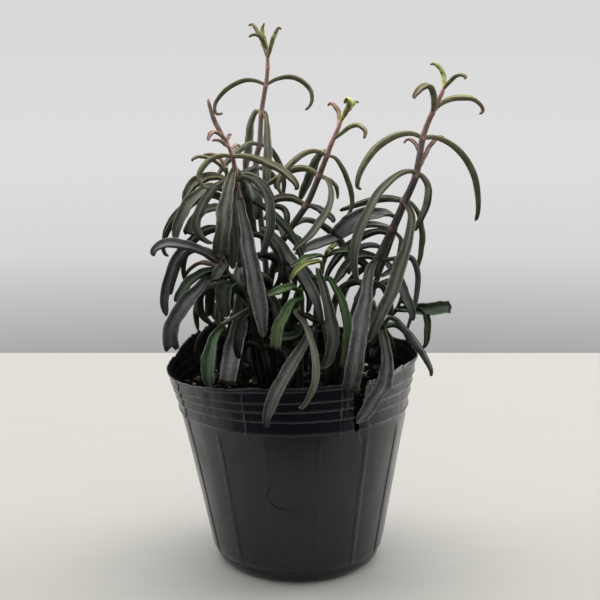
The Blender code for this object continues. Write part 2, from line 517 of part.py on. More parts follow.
def through(points, steps):
    """Run a smooth curve through points, with the given number of steps between each two."""
    knots = [points[0] * 2 - points[1], *points, points[-1] * 2 - points[-2]]
    line = []
    for before, start, end, after in zip(knots, knots[1:], knots[2:], knots[3:]):
        out = start + (end - before) / 6
        back = end - (after - start) / 6
        line.extend(interpolate_bezier(start, out, back, end, steps + 1)[:-1])
    line.append(points[-1])
    return line


def along(points):
    """Give how far along a line each of its points lies."""
    return np.cumsum([0.0] + [(b - a).length for a, b in zip(points, points[1:])])


def stations(points):
    """Give points along a smooth curve through the given ones, closer together where it bends."""
    dense = through(points, 12)
    bends = [(b - a).angle(c - b) for a, b, c in zip(dense, dense[1:], dense[2:])]
    effort = along(dense) / RING_SPACING + np.cumsum([0.0, *bends, 0.0]) / RING_BEND
    count = int(min(MOST_RINGS, max(FEWEST_RINGS, round(effort[-1]) + 2)))
    wanted = np.linspace(0.0, effort[-1], count)
    columns = [np.interp(wanted, effort, [point[axis] for point in dense]) for axis in range(3)]
    return [Vector(point) for point in zip(*columns)]


def shell(rings):
    """Give the points, in metres, and the faces of a skin over a row of rings, closed at both ends."""
    sides = len(rings[0])
    points = [point * MM for ring in rings for point in ring]
    faces = []
    for row in range(len(rings) - 1):
        for side in range(sides):
            here = row * sides + side
            following = row * sides + (side + 1) % sides
            faces.append((here, following, following + sides, here + sides))
    faces.append(tuple(range(sides))[::-1])
    faces.append(tuple(range(len(points) - sides, len(points))))
    return points, faces


def loft(rings):
    """Skin a row of rings of points as a closed mesh."""
    mesh = bpy.data.meshes.new("loft")
    points, faces = shell(rings)
    mesh.from_pydata(points, [], faces)
    form = bmesh.new()
    form.from_mesh(mesh)
    bmesh.ops.recalc_face_normals(form, faces=form.faces)
    form.to_mesh(mesh)
    form.free()
    return mesh


# Pot


def wall_radius(height):
    """Return the outer radius of the plain tapered wall."""
    return FOOT_RADIUS + (RIM_RADIUS - FOOT_RADIUS) * height / POT_HEIGHT


def slump(point):
    """Lean the pot and pull its soft rim out of round, as the photo shows; takes and gives millimetres."""
    share = max(0.0, point.z / POT_HEIGHT)
    azimuth = math.atan2(point.y, point.x)
    leftward = max(0.0, -point.x / RIM_RADIUS)
    pinch = LEFT_PINCH * leftward ** PINCH_SHARPNESS * share ** PINCH_REACH
    towards = (1 + math.cos(azimuth - SAG_AZIMUTH) * point.xy.length / RIM_RADIUS) / 2
    sag = RIM_SAG * max(0.0, towards) ** SAG_SHARPNESS * share ** SAG_REACH
    outwards = 0.0
    for degrees, spread, out, up in DENTS:
        off = math.remainder(azimuth - math.radians(degrees), math.tau) / math.radians(spread)
        near = math.exp(-off ** 2) * (point.xy.length / RIM_RADIUS) ** 2 * share ** DENT_REACH
        outwards += out * near
        sag -= up * near
    lean = RIM_LEAN * share - pinch
    return Vector((point.x + lean + outwards * math.cos(azimuth), point.y + outwards * math.sin(azimuth),
                   point.z - sag))


def pot_profile():
    """Give the half section of the pot, from the inner floor up over the rim and down the outside."""
    rim_inside = wall_radius(POT_HEIGHT) - WALL
    profile = [(0.0, FLOOR_THICKNESS), (FOOT_RADIUS - FOOT_ROUNDING - WALL, FLOOR_THICKNESS),
               (wall_radius(FOOT_ROUNDING) - WALL, FOOT_ROUNDING), (rim_inside, POT_HEIGHT - LIP_DEPTH),
               (rim_inside, POT_HEIGHT), (wall_radius(POT_HEIGHT) + LIP_PROUD, POT_HEIGHT),
               (wall_radius(POT_HEIGHT) + LIP_PROUD, POT_HEIGHT - LIP_DEPTH)]
    for upper, lower in zip(STEP_HEIGHTS, STEP_HEIGHTS[1:]):
        radius = wall_radius(lower + (upper - lower) * STEP_SHARE)
        profile.append((radius, upper - BEAD_HALF_WIDTH))
        profile.append((radius, lower + BEAD_HALF_WIDTH))
        profile.append((radius + BEAD_PROUD, lower))
    profile.append((wall_radius(STEP_HEIGHTS[-1]), STEP_HEIGHTS[-1] - BEAD_HALF_WIDTH))
    profile.append((wall_radius(FOOT_ROUNDING), FOOT_ROUNDING))
    for step in range(1, FOOT_STEPS):
        turn = math.pi / 2 * step / FOOT_STEPS
        inward = FOOT_ROUNDING * (1 - math.cos(turn))
        profile.append((FOOT_RADIUS - inward, FOOT_ROUNDING * (1 - math.sin(turn))))
    profile.append((FOOT_RADIUS - FOOT_ROUNDING, 0.0))
    profile.append((0.0, 0.0))
    return profile


def turned(name, profile, sides, collection):
    """Turn a half section, given in millimetres, round the upright axis."""
    mesh = bpy.data.meshes.new(name)
    edges = [(step, step + 1) for step in range(len(profile) - 1)]
    mesh.from_pydata([(radius * MM, 0.0, height * MM) for radius, height in profile], edges, [])
    item = new_object(name, mesh, collection)
    screw = item.modifiers.new("turn", "SCREW")
    screw.steps = sides
    screw.render_steps = sides
    screw.use_merge_vertices = True
    screw.merge_threshold = 0.00001
    apply_modifiers(item)
    return item


def upright_rib(azimuth, collection):
    """Add a thin raised line that runs up the outside of the wall, as a slim block sunk in it."""
    form = bmesh.new()
    bmesh.ops.create_cube(form, size=1.0)
    for vertex in form.verts:
        height = UPRIGHT_BOTTOM if vertex.co.z < 0 else UPRIGHT_TOP
        proud = UPRIGHT_PROUD if vertex.co.x > 0 else -WALL / 2
        reach = wall_radius(height) * math.cos(math.pi / POT_SIDES) + proud
        half = math.copysign(UPRIGHT_WIDTH / 2, vertex.co.y)
        vertex.co = Vector((reach * math.cos(azimuth) - half * math.sin(azimuth),
                            reach * math.sin(azimuth) + half * math.cos(azimuth), height)) * MM
    mesh = bpy.data.meshes.new("upright")
    form.to_mesh(mesh)
    form.free()
    new_object("upright", mesh, collection)


def drain_cutter(azimuth, collection):
    """Add a round cutter for one drain hole in the floor."""
    form = bmesh.new()
    bmesh.ops.create_cone(form, cap_ends=True, segments=12, radius1=DRAIN_RADIUS * MM,
                          radius2=DRAIN_RADIUS * MM, depth=4 * FLOOR_THICKNESS * MM)
    centre = Vector((DRAIN_RING * math.cos(azimuth), DRAIN_RING * math.sin(azimuth), 0.0)) * MM
    bmesh.ops.translate(form, verts=form.verts, vec=centre)
    mesh = bpy.data.meshes.new("drain")
    form.to_mesh(mesh)
    form.free()
    new_object("drain", mesh, collection)


def tear_cutter(collection):
    """Add a bulging wedge that opens the tear in the rim, widest at the top."""
    outward = Vector((math.cos(TEAR_AZIMUTH), math.sin(TEAR_AZIMUTH), 0.0))
    side = Vector((-outward.y, outward.x, 0.0))
    rings = []
    for share in TEAR_SHARES:
        height = TEAR_BOTTOM + (POT_HEIGHT + TEAR_OVERSHOOT - TEAR_BOTTOM) * share
        half = TEAR_TOP_WIDTH / 2 * (TEAR_FOOT_SHARE + (1 - TEAR_FOOT_SHARE) * share ** TEAR_BULGE)
        middle = outward * wall_radius(height) + side * TEAR_DRIFT * (1 - share) + Vector((0, 0, height))
        rings.append([middle + outward * out * TEAR_DEPTH + side * half * across
                      for out, across in ((-1, -1), (1, -1), (1, 1), (-1, 1))])
    new_object("tear", loft(rings), collection)


def build_pot(collection, cutters):
    """Make the pot: a turned shell with bands, raised lines, drain holes and a torn, slumped rim."""
    pot = turned("pot", pot_profile(), POT_SIDES, collection)
    for index in range(UPRIGHT_COUNT):
        upright_rib(UPRIGHT_START + math.tau * index / UPRIGHT_COUNT, cutters)
    join_or_cut(pot, "UNION", cutters)
    for index in range(DRAIN_HOLES):
        drain_cutter(math.tau * (index + 0.5) / DRAIN_HOLES, cutters)
    tear_cutter(cutters)
    join_or_cut(pot, "DIFFERENCE", cutters)
    for vertex in pot.data.vertices:
        vertex.co = slump(vertex.co / MM) * MM
    finish(pot, POT_BLACK, POT_ROUGHNESS)
    return pot


# Soil


def soil_height(right, behind):
    """Give the height of the soil's uneven top."""
    heap = SOIL_MOUND * (1 - (right ** 2 + behind ** 2) / RIM_RADIUS ** 2)
    lumps = math.sin(right * LUMP_WAVES[0] + LUMP_START) * math.cos(behind * LUMP_WAVES[1])
    slanted = math.sin(right * SLANTED_WAVES[0] - behind * SLANTED_WAVES[1])
    return SOIL_TOP + heap + SOIL_RELIEF * (lumps + slanted) / 2


def build_soil(collection, cutters, stems):
    """Fill the pot with soil that keeps clear of its wall and has a plain hole for each stem."""
    inner = WALL + SOIL_GAP
    top = SOIL_TOP
    profile = [(0.0, top)]
    profile += [((wall_radius(top) - inner) * step / SOIL_RINGS, top) for step in range(1, SOIL_RINGS)]
    profile += [(wall_radius(top) - inner, top),
                (wall_radius(FOOT_ROUNDING) - inner, FOOT_ROUNDING + SOIL_GAP),
                (FOOT_RADIUS - FOOT_ROUNDING - inner, FLOOR_THICKNESS + SOIL_GAP),
                (0.0, FLOOR_THICKNESS + SOIL_GAP)]
    soil = turned("soil", profile, SOIL_SIDES, collection)
    for vertex in soil.data.vertices:
        place = vertex.co / MM
        if place.z > top - 0.1:
            place.z = soil_height(place.x, place.y)
        vertex.co = slump(place) * MM
    split_into_triangles(soil)
    for line, radii in stems:
        foot = line[0] + (line[0] - line[1]).normalized() * HOLE_GAP
        tube("hole", [foot, *line[1:HOLE_STATIONS]], [radii[0] + HOLE_GAP] * HOLE_STATIONS, cutters)
    join_or_cut(soil, "DIFFERENCE", cutters)
    finish(soil, SOIL_BROWN, SOIL_ROUGHNESS)
    return soil


# Leafy shoots


def tube(name, points, radii, collection):
    """Make a solid tube along points, as a curve with a bevel that is turned into a mesh."""
    curve = bpy.data.curves.new(name, "CURVE")
    curve.dimensions = "3D"
    curve.bevel_depth = MM
    curve.bevel_resolution = TUBE_ROUNDING
    curve.use_fill_caps = True
    spline = curve.splines.new("POLY")
    spline.points.add(len(points) - 1)
    for knot, point, radius in zip(spline.points, points, radii):
        knot.co = (*(point * MM), 1.0)
        knot.radius = radius
    wire = new_object(name + "_wire", curve, collection)
    form = bmesh.new()
    form.from_mesh(evaluated_mesh(wire))
    bpy.data.objects.remove(wire, do_unlink=True)
    bmesh.ops.remove_doubles(form, verts=form.verts, dist=0.00001)
    bmesh.ops.recalc_face_normals(form, faces=form.faces)
    mesh = bpy.data.meshes.new(name)
    form.to_mesh(mesh)
    form.free()
    return new_object(name, mesh, collection)


def stem_stations(shoot):
    """Give the points of a stem, at each of its joints and half way between them, and its radii there."""
    points = through([placed(*point) for point in shoot["stem"]], 2)
    radii = []
    for index in range(len(points)):
        share = index / (len(points) - 1)
        swell = NODE_SWELL if index % 2 == 0 and 2 < index < len(points) - 1 else 1.0
        radii.append((shoot["girth"] + (TIP_RADIUS - shoot["girth"]) * share ** STEM_TAPER) * swell)
    return points, radii


def midrib(shoot, leaf, shift, bulge):
    """Run a leaf's midrib from its stem, with its tip moved by shift and its middle by bulge in depth."""
    width, tip_behind, twin, turn, cut, points = leaf
    heights = [up for right, up, behind in shoot["stem"]]
    depths = [behind for right, up, behind in shoot["stem"]]
    root_behind = float(np.interp(points[0][1], heights, depths))
    steps = [math.dist(a, b) for a, b in zip(points, points[1:])]
    shares = np.cumsum([0.0] + steps) / sum(steps)
    line = []
    for (right, up), share in zip(points, shares):
        outward = 1 - (1 - share) ** OUTWARD_EASE
        behind = root_behind + (tip_behind + shift - root_behind) * outward
        line.append(placed(right, up, behind + bulge * math.sin(math.pi * share)))
    return stations(line)


def hidden_midribs(shoot):
    """Give the midribs of the pairs low on a stem, each pair turned a right angle from the one below."""
    points, radii = stem_stations(shoot)
    travelled = along(points)
    heights = [point.z for point in points]
    top = float(np.interp(min(leaf[5][0][1] for leaf in shoot["leaves"]), heights, travelled))
    lines = []
    place = float(np.interp(SOIL_TOP + LOWEST_PAIR, heights, travelled))
    while place < top - 0.5 * PAIR_SPACING:
        root = Vector([np.interp(place, travelled, [point[axis] for point in points]) for axis in range(3)])
        quarter = len(lines) % 4 // 2
        for side in (0, 1):
            azimuth = math.pi / 2 * quarter + math.pi * side + CHANCE.uniform(-HIDDEN_WANDER, HIDDEN_WANDER)
            length = CHANCE.uniform(*HIDDEN_LENGTHS)
            lines.append(arch(root, azimuth, length, CHANCE.uniform(*HIDDEN_RISES)))
        place += PAIR_SPACING
    return lines


def arch(root, azimuth, length, rise):
    """Run a midrib out from its root, up and over, until its tip hangs down."""
    step = length / HIDDEN_SPANS
    line = [root.copy()]
    for index in range(HIDDEN_SPANS):
        slope = rise - ARCH_TURN * ((index + 0.5) / HIDDEN_SPANS) ** ARCH_SHARPNESS
        level = step * math.cos(slope)
        rise_here = step * math.sin(slope)
        line.append(line[-1] + Vector((math.cos(azimuth) * level, math.sin(azimuth) * level, rise_here)))
    return line


def spun(line, angle):
    """Turn a midrib round the upright line through its root."""
    turn = Matrix.Rotation(angle, 3, "Z")
    return [line[0] + turn @ (point - line[0]) for point in line]


def across_stem(line):
    """Turn a midrib to the far side of its stem."""
    root = line[0]
    return [Vector((2 * root.x - point.x, 2 * root.y - point.y, point.z)) for point in line]


def outline(share, cut):
    """Give a blade's width along its length: narrow where it leaves the stem, blunt at an uncut tip."""
    narrowed = 0.0 if cut else max(0.0, (share - TAPER_START) / TAPER_SPAN) ** TAPER_SHARPNESS
    return min(1.0, ROOT_WIDTH + share) * (1 - narrowed)


def depth(share):
    """Give a blade's depth at a share of its length: fullest in the middle, thin at the tip."""
    thinned = TIP_THINNING * max(0.0, (share - 0.5) / 0.5) ** THINNING_SHARPNESS
    return min(1.0, ROOT_DEPTH + share) * (1 - thinned)


def blade_rings(line, width, turn=0.0, cut=0, margin=0.0):
    """Give the sections of a channelled blade along its midrib; margin makes it thicker all round."""
    root = line[0]
    farthest = max(line, key=lambda point: (point - root).xy.length)
    outward = Vector(((farthest - root).x, (farthest - root).y, 0.0)).normalized()
    level = Vector((0, 0, 1)).cross(outward)
    towards_viewer = math.copysign(math.radians(turn), outward.x)
    deep = min(DEEPEST_BLADE, max(SHALLOWEST_BLADE, width * BLADE_DEPTH_SHARE))
    travelled = along(line)
    rings = []
    for index, point in enumerate(line):
        share = travelled[index] / travelled[-1]
        ahead = (line[min(index + 1, len(line) - 1)] - line[max(index - 1, 0)]).normalized()
        flat = (level - ahead * level.dot(ahead)).normalized()
        flat.rotate(Matrix.Rotation(towards_viewer * min(1.0, share / TURN_REACH), 3, ahead))
        above = ahead.cross(flat)
        half = width / 2 * outline(share, cut) + margin
        tall = deep / 2 * depth(share) + margin
        channel = max(0.0, 2 * tall - FLESH - 2 * margin)
        middle = [(0.0, tall - channel)] if width > NARROW_BLADE else []
        under = [(0.5 * half, -tall), (-0.5 * half, -tall)] if width > WIDE_BLADE else [(0.0, -tall)]
        section = [(-half, tall), *middle, (half, tall), *under]
        rings.append([point + flat * side + above * lift for side, lift in section])
    return rings


def settle(shoot, leaf, obstacles, mirrored):
    """Bend a leaf nearer or farther until it is clear of all obstacles; None where it can't be."""
    for shift, bulge in TRIES:
        line = midrib(shoot, leaf, shift, bulge)
        if mirrored:
            line = across_stem(line)
        probe = BVHTree.FromPolygons(*shell(blade_rings(line, leaf[0], leaf[3], leaf[4], LEAF_CLEARANCE)))
        if not any(probe.overlap(obstacle) for obstacle in obstacles):
            return line
    return None


def settle_hidden(line, width, obstacles):
    """Turn a hidden leaf round its stem until it is clear of all obstacles; None where it can't be."""
    for spin in HIDDEN_SPINS:
        turned_line = spun(line, math.radians(spin))
        probe = BVHTree.FromPolygons(*shell(blade_rings(turned_line, width, margin=LEAF_CLEARANCE)))
        if not any(probe.overlap(obstacle) for obstacle in obstacles):
            return turned_line
    return None


def place_leaves(fixed, stem_trees):
    """Settle every leaf of every shoot, those that the photo shows first, and give their sections."""
    placed_leaves = {name: [] for name in SHOOTS}
    trees = {name: [stem_trees[name]] for name in SHOOTS}
    for mirrored in (False, True):
        for name, shoot in SHOOTS.items():
            for index, leaf in enumerate(shoot["leaves"]):
                if mirrored and not leaf[2]:
                    continue
                others = [tree for other, held in trees.items() if other != name for tree in held]
                line = settle(shoot, leaf, fixed + others, mirrored)
                if line is None:
                    print("no room for leaf", index, "of", name, "twin" if mirrored else "")
                    continue
                rings = blade_rings(line, leaf[0], leaf[3], leaf[4])
                placed_leaves[name].append(rings)
                trees[name].append(BVHTree.FromPolygons(*shell(rings)))
    for name, shoot in SHOOTS.items():
        for line in hidden_midribs(shoot):
            width = CHANCE.uniform(*HIDDEN_WIDTHS)
            others = [tree for other, held in trees.items() if other != name for tree in held]
            line = settle_hidden(line, width, fixed + others)
            if line is None:
                print("no room for a hidden leaf of", name)
                continue
            rings = blade_rings(line, width)
            placed_leaves[name].append(rings)
            trees[name].append(BVHTree.FromPolygons(*shell(rings)))
    return placed_leaves


def build_shoots(collection, cutters, fixed):
    """Make each leafy shoot: its stem with all its leaves joined to it."""
    stems = {}
    for name, shoot in SHOOTS.items():
        stems[name] = tube(name, *stem_stations(shoot), collection)
    stem_trees = {name: search_tree(stem.data) for name, stem in stems.items()}
    leaves = place_leaves(fixed, stem_trees)
    for name, stem in stems.items():
        for rings in leaves[name]:
            new_object("blade", loft(rings), cutters)
        join_or_cut(stem, "UNION", cutters, "MANIFOLD")
        fill_pockets(stem)
        finish(stem, SHOOT_COLOURS.get(name, GREY_GREEN), LEAF_ROUGHNESS)


def main():
    """Build the whole object."""
    start_empty()
    collection = new_collection("potted_succulent")
    cutters = new_collection("cutters")
    pot = build_pot(collection, cutters)
    stems = [stem_stations(shoot) for shoot in SHOOTS.values()]
    soil = build_soil(collection, cutters, stems)
    build_shoots(collection, cutters, [search_tree(pot.data), search_tree(soil.data)])


main()
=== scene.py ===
"""Looks of a potted narrow-leaved succulent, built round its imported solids.

Every solid is stood for by a finer piece of the same form: the thin black pot, the soil with its crumbs, and
twelve leafy shoots. Each leaf is a copy of one channelled blade, bent along that leaf's own midrib. Lengths
are in millimetres until a mesh is written in metres. +Z is up and the viewer stands at -Y.
"""

from __future__ import annotations

import logging
import math
import random
from collections.abc import Callable, Iterable, Iterator, Sequence
from contextlib import contextmanager
from dataclasses import dataclass, field
from enum import Enum
from itertools import product

import bmesh
import bpy
import numpy as np
from mathutils import Matrix, Vector, noise
from mathutils.bvhtree import BVHTree
from mathutils.geometry import interpolate_bezier

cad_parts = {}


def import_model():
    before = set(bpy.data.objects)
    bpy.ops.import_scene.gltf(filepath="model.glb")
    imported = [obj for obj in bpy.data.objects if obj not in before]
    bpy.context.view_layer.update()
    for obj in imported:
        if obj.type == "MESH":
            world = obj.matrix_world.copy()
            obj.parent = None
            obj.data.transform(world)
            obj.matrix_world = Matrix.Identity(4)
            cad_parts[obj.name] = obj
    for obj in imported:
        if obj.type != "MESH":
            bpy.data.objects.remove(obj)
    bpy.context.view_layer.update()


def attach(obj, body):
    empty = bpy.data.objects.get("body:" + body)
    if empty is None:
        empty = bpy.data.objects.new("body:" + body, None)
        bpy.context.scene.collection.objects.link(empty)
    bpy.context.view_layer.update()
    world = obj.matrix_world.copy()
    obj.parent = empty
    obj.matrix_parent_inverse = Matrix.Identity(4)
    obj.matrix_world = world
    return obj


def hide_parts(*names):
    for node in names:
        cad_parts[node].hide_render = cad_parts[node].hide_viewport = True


log = logging.getLogger("potted_succulent")

MM = 0.001
BODY = "root"

# Where the viewer's eye stands, from whom the plant was read
EYE_DISTANCE = 445.0
EYE_HEIGHT = 193.0
EYE_RIGHT = 0.8
EYE_DOWNWARD = math.radians(12.1)

Pair = tuple[float, float]
Colour = tuple[float, float, float]
Array = np.ndarray
Item = bpy.types.Object


class Look(Enum):
    """The colours of a leaf at its root, along its body and at its tip."""

    DARK = ((0.074, 0.073, 0.054), (0.067, 0.068, 0.062), (0.056, 0.055, 0.051))
    SLATE = ((0.068, 0.070, 0.058), (0.091, 0.095, 0.091), (0.100, 0.100, 0.090))
    PALE = ((0.190, 0.190, 0.172), (0.290, 0.295, 0.286), (0.250, 0.250, 0.240))
    ASH = ((0.100, 0.101, 0.088), (0.150, 0.155, 0.150), (0.135, 0.138, 0.130))
    MOSS = ((0.110, 0.106, 0.070), (0.090, 0.091, 0.070), (0.074, 0.072, 0.055))
    JADE = ((0.055, 0.095, 0.038), (0.120, 0.180, 0.112), (0.150, 0.180, 0.135))
    OLIVE = ((0.150, 0.138, 0.082), (0.100, 0.096, 0.060), (0.074, 0.062, 0.044))
    SAGE = ((0.090, 0.100, 0.062), (0.120, 0.128, 0.098), (0.110, 0.112, 0.088))
    DEEP = ((0.032, 0.046, 0.024), (0.038, 0.054, 0.032), (0.040, 0.050, 0.032))
    BROWN = ((0.075, 0.050, 0.034), (0.060, 0.040, 0.028), (0.110, 0.078, 0.045))
    YOUNG = ((0.120, 0.125, 0.055), (0.125, 0.122, 0.072), (0.150, 0.095, 0.080))
    PINK = ((0.190, 0.112, 0.100), (0.150, 0.108, 0.088), (0.180, 0.112, 0.115))
    YELLOW = ((0.220, 0.230, 0.045), (0.150, 0.160, 0.055), (0.120, 0.105, 0.060))
    GREEN = ((0.030, 0.085, 0.018), (0.056, 0.085, 0.036), (0.085, 0.100, 0.062))


@dataclass(frozen=True)
class Leaf:
    """One leaf that the photo shows.

    The points are (right, up), from the stem outwards, on the upright plane through the pot's axis as they
    look to the viewer. tip_behind is how far behind that plane the tip lies, and turn is how many degrees the
    upper face turns towards the viewer. twin adds a leaf on the far side of the stem, and cut says that the
    tip is cut or broken off.
    """

    width: float
    tip_behind: float
    turn: float
    look: Look
    points: tuple[Pair, ...]
    twin: bool = False
    cut: bool = False


@dataclass(frozen=True)
class ShootPlan:
    """A stem, its radius at the soil, its points (right, up, behind) on their sight lines and its leaves."""

    girth: float
    stem: tuple[tuple[float, float, float], ...]
    leaves: tuple[Leaf, ...]


